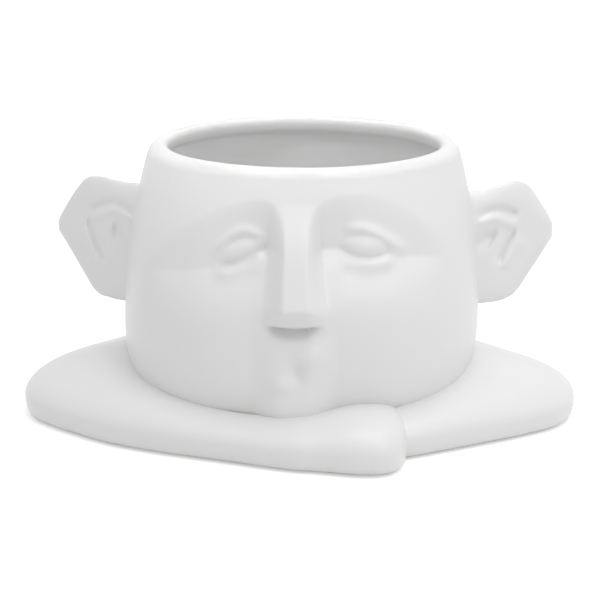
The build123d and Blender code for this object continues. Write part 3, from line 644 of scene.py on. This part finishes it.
def head_radius(azimuth, z, inset=0.0):
    """Distance from the head's upright axis to its plain surface, less an inset."""
    width, front, back, squareness = row_at(HEAD_PROFILE_SHARES, z / HEAD_HEIGHT)
    angle = np.radians(azimuth)
    depth = np.where(np.sin(angle) > 0, back * HEAD_BACK_DEPTH, front * HEAD_FRONT_DEPTH) - inset
    across = np.abs(np.cos(angle)) / (width * HEAD_HALF_WIDTH - inset)
    along = np.abs(np.sin(angle)) / depth
    return (across**squareness + along**squareness) ** (-1 / squareness)


def head_ring(azimuths, z, shape, inset, relief_share, drop):
    """One ring of the head. A share of what stands out of the face shows, and all of its hollows."""
    angle = np.radians(azimuths)
    radius = head_radius(azimuths, z, inset)
    x, y = radius * np.cos(angle), radius * np.sin(angle)
    lean = HEAD_LEAN * z / HEAD_HEIGHT
    face_x = x * HEAD_HALF_WIDTH / (HEAD_HALF_WIDTH - inset) + lean
    relief = face_relief(face_x, np.full(len(azimuths), CLAY_BOTTOM + z), shape.glaze_softness)
    relief = relief * ease(-y, 0, HEAD_FRONT_DEPTH / 2)
    y = y - np.where(relief > 0, relief_share, 1.0) * relief
    return np.stack([x + lean, y + HEAD_CENTRE_Y, CLAY_BOTTOM + z - drop], 1)


def round_ring(azimuths, radius, z):
    angle = np.radians(azimuths)
    x, y = radius * np.cos(angle), HEAD_CENTRE_Y + radius * np.sin(angle)
    return np.stack([x, y, np.full(len(azimuths), CLAY_BOTTOM + z)], 1)


def head_rings(shape):
    """Rings from the drain hole out under the foot, up the face, over the rim and down inside."""
    azimuths = ring_azimuths(shape.ring_points)
    angle = np.radians(azimuths)
    waver = shape.waver * (1 + 0.6 * np.sin(2 * angle + 0.6) + 0.4 * np.sin(5 * angle + 1.9)) / 2
    bead_z = HEAD_HEIGHT - shape.bead_radius
    floor_z = FOOT_RECESS_DEPTH + FLOOR_THICKNESS

    def ring(z, inset=0.0, relief_share=1.0):
        drop = waver * ease(z, HEAD_HEIGHT * WAVER_FROM_SHARE, HEAD_HEIGHT)
        return head_ring(azimuths, z, shape, inset, relief_share, drop)

    foot_in = head_radius(azimuths, 0.0, FOOT_RING_WIDTH)
    rings = []
    for out, up in DRAIN_LOWER_EDGE:
        rings.append(round_ring(azimuths, DRAIN_HOLE_RADIUS + out, FOOT_RECESS_DEPTH + up))
    rings += [round_ring(azimuths, radius, FOOT_RECESS_DEPTH) for radius in RECESS_RADII]
    for inward, up_share in FOOT_INNER_EDGE:
        rings.append(round_ring(azimuths, foot_in - inward, FOOT_RECESS_DEPTH * up_share))
    rings.append(round_ring(azimuths, foot_in + FOOT_FLAT, 0.0))
    rings += [ring(z, inset) for z, inset in FOOT_OUTER_EDGE]
    steps = round(bead_z / shape.ring_gap)
    rings += [ring(bead_z * i / steps) for i in range(1, steps + 1)]
    top_width = shape.bead_radius - BEAD_LAND / 2
    bead_width = 2 * shape.bead_radius
    for inside, start, end in ((False, BEAD_START_SHARE, 1.0), (True, 1.0, BEAD_START_SHARE)):
        for share in np.linspace(start, end, BEAD_RINGS):
            over = math.pi / 2 * share
            inset = top_width * (1 - math.cos(over))
            z = bead_z + shape.bead_radius * math.sin(over)
            rings.append(ring(z, bead_width - inset, FOLLOW_SHARE) if inside else ring(z, inset))
    for share in np.linspace(0.0, 1.0, BEAD_RINGS):
        inset = between(bead_width, shape.wall, ease(share, BEAD_UPRIGHT_SHARE, BEAD_STEP_SHARE))
        rings.append(ring(bead_z - BEAD_SHOULDER * share, inset, FOLLOW_SHARE))
    wall_top, wall_bottom = bead_z - BEAD_SHOULDER, floor_z + FLOOR_CORNER
    for share in np.linspace(0.0, 1.0, WALL_RINGS)[1:]:
        rings.append(ring(between(wall_top, wall_bottom, share), shape.wall, FOLLOW_SHARE))
    for share in (0.88, 0.75, 0.6, 0.45, 0.32, 0.2, 0.12, 0.06, 0.02, 0.0):
        corner = FLOOR_CORNER * (1 - math.sqrt(1 - (1 - share) ** 2))
        rings.append(ring(floor_z + FLOOR_CORNER * share, shape.wall + corner, FOLLOW_SHARE))
    last = rings[-1]
    mouth = round_ring(azimuths, DRAIN_HOLE_RADIUS + DRAIN_FLARE, floor_z)
    rings += [between(last, mouth, share) for share in (0.15, 0.3, 0.45, 0.6, 0.75, 0.9, 1.0)]
    for out, fall in DRAIN_UPPER_EDGE:
        rings.append(round_ring(azimuths, DRAIN_HOLE_RADIUS + out, floor_z - fall))
    return rings


# The arms


def arm_curve(turn, rows, points):
    """Outer curve of an arm's section as (radius, height) pairs, from its underside to its crest."""
    reach_share, crest_share, row_height_share, fall = row_at(rows, turn)
    reach = reach_share * ELBOW_REACH
    crest = reach * crest_share
    height = row_height_share * SHOULDER_HEIGHT
    belly = min(ARM_BELLY_HEIGHT, height / 2)
    under = points // 3
    angle = math.pi / 2 * np.arange(under) / under
    curve = list(zip(reach - ARM_TUCK * (1 - np.sin(angle)), between(belly, 0.0, np.cos(angle))))
    over = points - under
    angle = math.pi / 2 * np.arange(over + 1) / over
    out, up = np.abs(np.cos(angle)) ** fall, np.sin(angle) ** (1 + (fall - 1) * ARM_CROWN_SHARE)
    return curve + list(zip(between(crest, reach, out), between(belly, height, up)))


def arm_ring(turn, side, rows, points=54):
    """Closed ring across an arm; side is 1 on +X and -1 on -X."""
    curve = arm_curve(turn, rows, points)
    crest, height = curve[-1]
    azimuth = 90 - side * turn
    head = float(head_radius(azimuth, height)) - ARM_INTO_HEAD
    inner = min(head, crest - ARM_INTO_HEAD)
    fall = min(ARM_INNER_FALL, height / 2)
    for share in (0.12, 0.3, 0.55, 0.8, 1.0):
        curve.append((between(crest, inner, share), height - fall * share**2))
    for share in (0.0, 0.25, 0.5, 0.75):
        under = between(ARM_UNDER_RADIUS - ARM_UNDER_STEP, curve[0][0], share)
        curve.append((under, 0.0 if share else ARM_UNDER_RISE))
    angle = math.radians(azimuth)
    radius, z = np.array(curve).T
    x, y = radius * math.cos(angle), HEAD_CENTRE_Y + radius * math.sin(angle)
    return np.stack([x, y, CLAY_BOTTOM + z], 1)


def hand_ring(share):
    """Ring across the hand, which runs on along +X from the wrist and ends bluntly at a share of 1."""
    ring = arm_ring(WRIST_TURN, -1, LEFT_ARM_SHARES)
    forward, z = HEAD_CENTRE_Y - ring[:, 1], ring[:, 2] - CLAY_BOTTOM
    late = clamp((share - HAND_ROUND_SHARE) / (1 - HAND_ROUND_SHARE))
    blunt, tuck = [float(1 - late**power) ** (1 / power) for power in HAND_BLUNTNESS]
    swollen = ease(share, 0, HAND_SWELL_SHARE)
    widening = (between(forward.max(), HAND_REACH, swollen) - HAND_MIDDLE) / (forward.max() - HAND_MIDDLE)
    outer = HAND_MIDDLE + (forward - HAND_MIDDLE) * widening * blunt
    inner = HAND_MIDDLE + (forward - HAND_MIDDLE) * between(1, HAND_STRETCH, swollen)
    inner = np.maximum(inner, np.minimum(forward, HAND_INNER))
    forward = np.where(forward > HAND_MIDDLE, outer, inner)
    above = (1 + HAND_SWELL * swollen) * blunt
    z = ARM_BELLY_HEIGHT + (z - ARM_BELLY_HEIGHT) * np.where(z > ARM_BELLY_HEIGHT, above, tuck)
    x = np.full(len(z), HAND_LENGTH * share)
    return np.stack([x, HEAD_CENTRE_Y - forward, CLAY_BOTTOM + z], 1)


def left_arm_rings():
    """The left arm from the back seam to its rounded hand."""
    rings = [arm_ring(turn, -1, LEFT_ARM_SHARES) for turn in np.linspace(0, WRIST_TURN, LEFT_ARM_RINGS)]
    straight = np.linspace(0, HAND_ROUND_SHARE, 16)[1:]
    rounded = HAND_ROUND_SHARE + (1 - HAND_ROUND_SHARE) * np.sin(np.linspace(0, math.pi / 2, 30))[1:-1]
    return rings + [hand_ring(share) for share in [*straight, *rounded]]


def right_arm_rings():
    """The right arm from the back seam to where it goes in under the hand."""
    turns = np.linspace(0, RIGHT_FOREARM_END_TURN, RIGHT_ARM_RINGS)
    return [arm_ring(turn, 1, RIGHT_ARM_SHARES) for turn in turns]


# The ears


def ear_relief(lines, reach, out, z):
    """How far the front of an ear stands out: groove, fold, slit, helix and the shell by the head."""
    total = 0
    for name, (height, width) in EAR_CUTS.items():
        line = [(a * reach, b * EAR_HALF_HEIGHT) for a, b in lines[name]]
        total = total + height * fold(line, out, z, width)
    return total


def ear_ring(side, reach, sweep, outline, lines, out_share, points=180):
    """Closed ring across an ear, at a share of its reach; a share below 0 is in the head's wall."""
    bottom, top = row_at(outline, out_share)
    middle, half = between(bottom, top, 0.5), (top - bottom) / 2
    taper = math.sqrt(clamp(out_share))
    rounding = math.sqrt(1 - clamp((out_share - EAR_TIP_START_SHARE) / EAR_TIP_SHARE) ** 2)
    thickness = between(EAR_THICKNESS_ROOT, EAR_THICKNESS_TIP, taper) * rounding
    angle = np.linspace(0, 2 * math.pi, points, endpoint=False)
    height_share = np.sign(np.sin(angle)) * np.abs(np.sin(angle)) ** EAR_ROW_POWER
    z = (middle + half * height_share) * EAR_HALF_HEIGHT
    dome = np.sqrt(1 - np.abs(height_share) ** EAR_SQUARENESS)
    full = thickness / 2 * dome
    out = np.full(points, out_share * reach)
    turn = math.radians(sweep)
    if out_share < 0:
        up_share = (EAR_MIDDLE_Z + z) / HEAD_HEIGHT
        half_width = row_at(HEAD_PROFILE_SHARES, up_share)[0] * HEAD_HALF_WIDTH
        half_width = half_width + side * HEAD_LEAN * up_share
        root = (half_width - EAR_INTO_HEAD - HEAD_HALF_WIDTH) / math.cos(turn)
        out = root * out_share / EAR_ROOT_SHARE
    relief = ear_relief(lines, reach, out, z) * dome
    front = np.where(np.cos(angle) > 0, full + relief, -full)
    x = HEAD_HALF_WIDTH + out * math.cos(turn) - front * math.sin(turn)
    y = EAR_ROOT_Y + out * math.sin(turn) - front * math.cos(turn)
    return np.stack([side * x, y, CLAY_BOTTOM + EAR_MIDDLE_Z + z], 1)


def ear_rings(side, reach, sweep, outline, lines):
    shares = list(np.linspace(EAR_ROOT_SHARE, EAR_TIP_START_SHARE, 76))
    shares += list(EAR_TIP_START_SHARE + EAR_TIP_SHARE * np.sin(np.linspace(0, math.pi / 2, 14)))[1:-1]
    return [ear_ring(side, reach, sweep, outline, lines, share) for share in shares]


# Materials


def add_node(tree, kind, **settings):
    made = tree.nodes.new(kind)
    for name, value in settings.items():
        setattr(made, name, value)
    return made


def feed(tree, inputs, given):
    """Gives each input socket, by its name or place, a value or another node's output."""
    for name, source in given.items():
        if isinstance(source, bpy.types.NodeSocket):
            tree.links.new(source, inputs[name])
        else:
            inputs[name].default_value = source


def math_node(tree, operation, first, second=0.0, third=0.0):
    made = add_node(tree, "ShaderNodeMath", operation=operation)
    feed(tree, made.inputs, dict(enumerate((first, second, third))))
    return made.outputs[0]


def mix_colours(tree, share, first, second):
    made = add_node(tree, "ShaderNodeMix", data_type="RGBA")
    sockets = {socket.identifier: socket for socket in [*made.inputs, *made.outputs]}
    feed(tree, sockets, {"Factor_Float": share, "A_Color": first, "B_Color": second})
    return sockets["Result_Color"]


def noise(tree, place, scale, detail=2.0, roughness=0.5):
    made = add_node(tree, "ShaderNodeTexNoise")
    given = {"Vector": place, "Scale": scale, "Detail": detail, "Roughness": roughness}
    feed(tree, made.inputs, given)
    return made.outputs["Fac"]


def remap(tree, value, low, high, start=0.0, end=1.0):
    made = add_node(tree, "ShaderNodeMapRange")
    feed(tree, made.inputs, dict(enumerate((value, low, high, start, end))))
    return made.outputs[0]


def node_tools(tree):
    return [partial(tool, tree) for tool in (math_node, mix_colours, noise, remap)]


def new_group(name, inputs, outputs):
    """A shader node group with named sockets; returns the group, its inputs and its outputs node."""
    group = bpy.data.node_groups.new(name, "ShaderNodeTree")
    for label, kind in inputs:
        group.interface.new_socket(label, in_out="INPUT", socket_type=kind)
    for label, kind in outputs:
        group.interface.new_socket(label, in_out="OUTPUT", socket_type=kind)
    return group, group.nodes.new("NodeGroupInput").outputs, group.nodes.new("NodeGroupOutput").inputs


def glaze_group():
    """Glaze that pools in creases and thins on edges, with bare clay below the foot line."""
    inputs = [(label, "NodeSocketColor") for label in ("Glaze", "Thin", "Pool", "Clay")]
    inputs += [(label, "NodeSocketFloat") for label in ("Roughness", "Peel", "Foot line")]
    outputs = [("Colour", "NodeSocketColor")]
    outputs += [(label, "NodeSocketFloat") for label in ("Roughness", "Coat", "Height")]
    group, given, result = new_group("Glaze over clay", inputs, outputs)
    calc, mix, cloudy, ramp = node_tools(group)
    place = add_node(group, "ShaderNodeTexCoord").outputs["Object"]
    sharp = add_node(group, "ShaderNodeNewGeometry").outputs["Pointiness"]
    height = add_node(group, "ShaderNodeSeparateXYZ")
    feed(group, height.inputs, {0: place})
    edge = ramp(sharp, 0.51, 0.56)
    crease = ramp(sharp, 0.49, 0.44)
    cloud = cloudy(place, 22.0, 0.0)
    thin_share = calc("MULTIPLY", edge, ramp(cloud, *CLOUD_RANGE, 0.3, 0.8))
    colour = mix(thin_share, given["Glaze"], given["Thin"])
    colour = mix(calc("MULTIPLY", crease, 0.8), colour, given["Pool"])
    colour = mix(ramp(cloud, *CLOUD_RANGE, 0.0, 0.2), colour, given["Pool"])
    pins = add_node(group, "ShaderNodeTexVoronoi", feature="F1")
    feed(group, pins.inputs, {"Vector": place, "Scale": 170.0})
    pin_chance = calc("GREATER_THAN", cloudy(place, 90.0, 1.0), 0.7)
    pin = calc("MULTIPLY", ramp(pins.outputs["Distance"], 0.07, 0.02), pin_chance)
    colour = mix(calc("MULTIPLY", pin, 0.35), colour, given["Clay"])
    ragged = calc("MULTIPLY_ADD", cloudy(place, 120.0, 3.0), RAGGED_EDGE, -RAGGED_EDGE / 2)
    wiped_height = calc("ADD", height.outputs["Z"], ragged)
    glazed = calc("SUBTRACT", wiped_height, given["Foot line"])
    glazed = ramp(glazed, *FOOT_LINE_SOFTNESS)
    grain = cloudy(place, 1600.0, 4.0, 0.7)
    clay = mix(ramp(grain, 0.45, 0.7, 0.0, 0.2), given["Clay"], DARK_CLAY)
    rough_glaze = calc("ADD", given["Roughness"], ramp(cloud, *CLOUD_RANGE, -0.03, 0.04))
    roughness = calc("MULTIPLY_ADD", glazed, calc("SUBTRACT", rough_glaze, CLAY_ROUGHNESS), CLAY_ROUGHNESS)
    peel = calc("MULTIPLY", cloudy(place, 420.0, 2.0), given["Peel"])
    drift = calc("MULTIPLY", cloudy(place, 30.0, 1.0), DRIFT_HEIGHT)
    skin_height = calc("ADD", peel, drift)
    skin_height = calc("MULTIPLY_ADD", pin, -PIN_DEPTH, skin_height)
    clay_height = calc("MULTIPLY_ADD", grain, GRAIN_HEIGHT, -GLAZE_THICKNESS)
    step = calc("SUBTRACT", skin_height, clay_height)
    surface = {
        "Colour": mix(glazed, clay, colour),
        "Roughness": roughness,
        "Coat": calc("MULTIPLY", glazed, ramp(cloud, *CLOUD_RANGE, 0.08, 0.16)),
        "Height": calc("MULTIPLY_ADD", glazed, step, clay_height),
    }
    feed(group, result, surface)
    return group


def finish_material(name, make_group, settings, constants):
    """A material, made once, whose shader takes what changes over the surface from a group."""
    found = bpy.data.materials.get(name)
    if found:
        return found
    group = make_group()
    material = bpy.data.materials.new(name)
    material.use_nodes = True
    tree = material.node_tree
    shader = tree.nodes["Principled BSDF"]
    detail = add_node(tree, "ShaderNodeGroup", node_tree=group)
    feed(tree, detail.inputs, settings)
    made = detail.outputs
    bump = add_node(tree, "ShaderNodeBump")
    feed(tree, bump.inputs, {"Height": made["Height"], "Distance": 1.0})
    surface = {"Base Color": made["Colour"], "Roughness": made["Roughness"], "Normal": bump.outputs["Normal"]}
    if "Coat" in made:
        surface["Coat Weight"] = made["Coat"]
    feed(tree, shader.inputs, surface | constants)
    return material


def glaze_material(scene):
    look = scene.planter_glaze
    settings = {
        "Glaze": (*look.colour, 1.0),
        "Thin": (*look.thin_colour, 1.0),
        "Pool": (*look.pool_colour, 1.0),
        "Clay": (*look.clay_colour, 1.0),
        "Roughness": look.roughness,
        "Peel": look.peel,
        "Foot line": look.foot_line,
    }
    constants = {"Coat Roughness": 0.2, "IOR": 1.5, "Coat IOR": 1.5}
    return finish_material("Satin white glaze", glaze_group, settings, constants)


def silicone_group():
    """Moulded silicone: a faint haze, dust and the mould's fine texture."""
    inputs = [("Silicone", "NodeSocketColor"), ("Roughness", "NodeSocketFloat")]
    outputs = [("Colour", "NodeSocketColor"), ("Roughness", "NodeSocketFloat"), ("Height", "NodeSocketFloat")]
    group, given, result = new_group("Moulded silicone", inputs, outputs)
    calc, mix, cloudy, ramp = node_tools(group)
    place = add_node(group, "ShaderNodeTexCoord").outputs["Object"]
    haze = cloudy(place, 160.0, 4.0, 0.6)
    dust = cloudy(place, 1400.0, 2.0)
    dust_share = ramp(dust, 0.62, 0.72, 0.0, 0.18)
    colour = mix(ramp(haze, 0.4, 0.7, 0.0, 0.3), given["Silicone"], HAZE)
    colour = mix(dust_share, colour, DUST)
    roughness = calc("ADD", given["Roughness"], ramp(haze, 0.3, 0.7, -0.06, 0.08))
    fine = calc("MULTIPLY", cloudy(place, 2600.0, 2.0), MOULD_HEIGHT)
    feed(group, result, {"Colour": colour, "Roughness": roughness, "Height": fine})
    return group


def silicone_material(scene):
    look = scene.planter_silicone
    settings = {"Silicone": (*look.colour, 1.0), "Roughness": look.roughness}
    constants = {"IOR": 1.41, "Subsurface Weight": 0.25, "Subsurface Scale": 0.002}
    return finish_material("White silicone", silicone_group, settings, constants)


# Operators, one for each piece or group of like pieces


class PLANTER_OT_head(bpy.types.Operator):
    """Cast the head with its face, rim, planting space and foot"""

    bl_idname = "planter.head"
    bl_label = "Head"

    def execute(self, context):
        rings = head_rings(context.scene.planter_shape)
        made = skin("head", rings, glaze_material(context.scene), "planter", ["head_bowl"], False)
        return {"FINISHED"}


class PLANTER_OT_arms(bpy.types.Operator):
    """Cast the two folded arms"""

    bl_idname = "planter.arms"
    bl_label = "Folded arms"

    def execute(self, context):
        material = glaze_material(context.scene)
        for node, rings in (("left_arm", left_arm_rings()), ("right_arm", right_arm_rings())):
            made = skin(f"{node}_skin", rings, material, "planter", [node])
        return {"FINISHED"}


class PLANTER_OT_ears(bpy.types.Operator):
    """Model the two ears"""

    bl_idname = "planter.ears"
    bl_label = "Ears"

    def execute(self, context):
        material = glaze_material(context.scene)
        for node, shape in EARS.items():
            made = skin(f"{node}_skin", ear_rings(*shape), material, "planter", [node])
        return {"FINISHED"}


class PLANTER_OT_plug(bpy.types.Operator):
    """Mould the silicone stopper, with its flange, ribbed stem and pull bar"""

    bl_idname = "planter.plug"
    bl_label = "Drain plug"

    def execute(self, context):
        flange_top = CLAY_BOTTOM + FOOT_RECESS_DEPTH
        flange_low = flange_top - PLUG_FLANGE_HEIGHT
        stem = (PLUG_HIGH.x - PLUG_LOW.x) / 2 - PLUG_FLANGE_RADIUS + DRAIN_HOLE_RADIUS - PLUG_PRESS
        tip = PLUG_HIGH.z
        ring_in, ring_middle, ring_out = PLUG_RING_RADII
        profile = [
            (AXIS_RADIUS, flange_low), (ring_in, flange_low),
            (ring_middle, flange_low + FINE_EDGE), (ring_out, flange_low),
            (PLUG_FLANGE_RADIUS - SOFT_EDGE, flange_low),
            (PLUG_FLANGE_RADIUS - FINEST_EDGE, flange_low + FINEST_EDGE),
            (PLUG_FLANGE_RADIUS, flange_low + SOFT_EDGE), (PLUG_FLANGE_RADIUS, flange_top - FINE_EDGE),
            (PLUG_FLANGE_RADIUS - FINEST_EDGE, flange_top),
            (stem + FINE_EDGE, flange_top), (stem, flange_top + FINE_EDGE),
        ]
        for share in PLUG_RIB_SHARES:
            middle = between(flange_top, tip - PLUG_TIP_RISE, share)
            profile += [(stem - PLUG_GROOVE * depth, middle + shift) for shift, depth in PLUG_RIB]
        shoulder = stem - PLUG_TIP_TAPER
        profile += [(shoulder, tip - FINEST_EDGE), (shoulder - PLUG_TIP_STEP, tip), (AXIS_RADIUS, tip)]
        rings = lathe(profile, (0.0, HEAD_CENTRE_Y), PLUG_POINTS)
        material = silicone_material(context.scene)
        made = skin("stopper", rings, material, "stopper", ["drain_plug"])
        bar_mesh = bpy.data.meshes.new("stopper_pull_bar")
        work = bmesh.new()
        bmesh.ops.create_cube(work, size=1.0)
        size = Vector((PLUG_GRIP_LENGTH, PLUG_GRIP_WIDTH, flange_low - PLUG_LOW.z + PLUG_GRIP_SINK))
        bmesh.ops.scale(work, vec=size, verts=work.verts)
        middle = Vector((0.0, HEAD_CENTRE_Y, PLUG_LOW.z + size.z / 2))
        bmesh.ops.translate(work, vec=middle, verts=work.verts)
        bmesh.ops.bevel(work, geom=work.edges, offset=SOFT_EDGE, segments=4, profile=0.5, affect="EDGES")
        work.to_mesh(bar_mesh)
        work.free()
        bar = dress("stopper_pull_bar", bar_mesh, material, "stopper", ["drain_plug"])
        return {"FINISHED"}


class PLANTER_OT_pads(bpy.types.Operator):
    """Mould the four pads that keep the clay off the table"""

    bl_idname = "planter.pads"
    bl_label = "Foot pads"

    def execute(self, context):
        material = silicone_material(context.scene)
        for node in PAD_NODES:
            low, high = (Vector(corner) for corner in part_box(node))
            centre, radius, top = (low + high) / 2, (high.x - low.x) / 2, high.z
            dimple, dimple_edge = (radius * share for share in PAD_DIMPLE_SHARES)
            profile = [
                (AXIS_RADIUS, PAD_DIMPLE), (dimple, PAD_DIMPLE), (dimple_edge, 0.0),
                (radius - PAD_EDGE, 0.0), (radius - FINEST_EDGE, PAD_FINE), (radius, PAD_ROUND),
                (radius, top - PAD_FINE), (radius - PAD_FINE, top), (AXIS_RADIUS, top),
            ]
            made = skin(f"{node}_skin", lathe(profile, centre, PAD_POINTS), material, "planter", [node])
        return {"FINISHED"}


def aim(obj, place, target):
    obj.location = place
    obj.rotation_euler = (Vector(target) - Vector(place)).to_track_quat("-Z", "Y").to_euler()
    bpy.context.scene.collection.objects.link(obj)


def add_lamp(name, place, size, power, target, spread=180.0, shape="RECTANGLE"):
    light = bpy.data.lights.new(name, "AREA")
    light.shape = shape
    light.size, light.size_y = size
    light.energy = power
    light.spread = math.radians(spread)
    aim(bpy.data.objects.new(name, light), place, target)


def seen_ray(tree):
    """1 for rays that show a surface in the picture, straight or by reflection or through glass."""
    path = add_node(tree, "ShaderNodeLightPath").outputs
    seen = math_node(tree, "ADD", path["Is Camera Ray"], path["Is Glossy Ray"])
    return math_node(tree, "MINIMUM", math_node(tree, "ADD", seen, path["Is Transmission Ray"]), 1.0)


class PLANTER_OT_stage(bpy.types.Operator):
    """Set the table, the lamps and the camera"""

    bl_idname = "planter.stage"
    bl_label = "Stage"

    def execute(self, context):
        scene = context.scene
        look = scene.planter_stage
        scene.view_settings.view_transform = "Standard"
        mesh = bpy.data.meshes.new("table")
        corners = [(x * TABLE_HALF, y * TABLE_HALF, 0) for x, y in ((-1, -1), (1, -1), (1, 1), (-1, 1))]
        mesh.from_pydata(corners, [], [(0, 1, 2, 3)])
        table = bpy.data.objects.new("table", mesh)
        scene.collection.objects.link(table)
        material = bpy.data.materials.new("Pale table")
        material.use_nodes = True
        tree = material.node_tree
        shader = tree.nodes["Principled BSDF"]
        place = add_node(tree, "ShaderNodeTexCoord").outputs["Object"]
        pale = (*look.floor_colour, 1.0)
        faint = tuple(value * TABLE_FAINT_SHARE for value in look.floor_colour) + (1.0,)
        colour = mix_colours(tree, noise(tree, place, 6.0, 3.0), pale, faint)
        lift = math_node(tree, "MULTIPLY", seen_ray(tree), look.floor_lift)
        surface = {
            "Base Color": colour,
            "Roughness": TABLE_ROUGHNESS,
            "Specular IOR Level": TABLE_SHINE,
            "Emission Color": WHITE,
            "Emission Strength": lift,
        }
        feed(tree, shader.inputs, surface)
        mesh.materials.append(material)
        world = bpy.data.worlds.new("Soft room")
        world.use_nodes = True
        scene.world = world
        tree = world.node_tree
        strength = remap(tree, seen_ray(tree), 0.0, 1.0, look.ambient, 1.0)
        feed(tree, tree.nodes["Background"].inputs, {"Color": WHITE, "Strength": strength})
        target = (0.0, 0.0, look.aim_height)
        add_lamp("key", KEY_PLACE, KEY_SIZE, look.key_power, target)
        add_lamp("top", TOP_PLACE, TOP_SIZE, look.top_power, target)
        mouth = (0.0, HEAD_CENTRE_Y, HEAD_HEIGHT)
        add_lamp("mouth", MOUTH_PLACE, MOUTH_SIZE, look.mouth_power, mouth, MOUTH_SPREAD, "DISK")
        camera = bpy.data.cameras.new("camera")
        camera.lens = look.camera_lens
        camera.sensor_width = SENSOR_WIDTH_MM
        eye_place = Vector((0.0, -math.cos(look.camera_elevation), math.sin(look.camera_elevation)))
        shot = bpy.data.objects.new("camera", camera)
        aim(shot, Vector(target) + eye_place * look.camera_distance, target)
        scene.camera = shot
        return {"FINISHED"}


class PLANTER_PT_pieces(bpy.types.Panel):
    """The planter's pieces, its finish and its stage"""

    bl_label = "Head planter"
    bl_idname = "PLANTER_PT_pieces"
    bl_space_type = "VIEW_3D"
    bl_region_type = "UI"
    bl_category = "Planter"

    def draw(self, context):
        for operator in OPERATORS:
            self.layout.operator(operator.bl_idname)
        for group, settings in GROUPS.items():
            box = self.layout.box()
            for name in group.__annotations__:
                box.prop(getattr(context.scene, settings), name)


OPERATORS = (
    PLANTER_OT_head,
    PLANTER_OT_arms,
    PLANTER_OT_ears,
    PLANTER_OT_plug,
    PLANTER_OT_pads,
    PLANTER_OT_stage,
)
GROUPS = {
    PlanterShape: "planter_shape",
    GlazeLook: "planter_glaze",
    SiliconeLook: "planter_silicone",
    StageLook: "planter_stage",
}
CLASSES = (*GROUPS, *OPERATORS, PLANTER_PT_pieces)


def register():
    for kind in CLASSES:
        bpy.utils.register_class(kind)
    for group, name in GROUPS.items():
        setattr(bpy.types.Scene, name, PointerProperty(type=group))


def unregister():
    for name in GROUPS.values():
        delattr(bpy.types.Scene, name)
    for kind in reversed(CLASSES):
        bpy.utils.unregister_class(kind)


def main():
    """Builds every piece and the stage."""
    register()
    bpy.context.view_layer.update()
    bpy.ops.planter.head()
    bpy.ops.planter.arms()
    bpy.ops.planter.ears()
    bpy.ops.planter.plug()
    bpy.ops.planter.pads()
    bpy.ops.planter.stage()


if __name__ == "__main__":
    main()
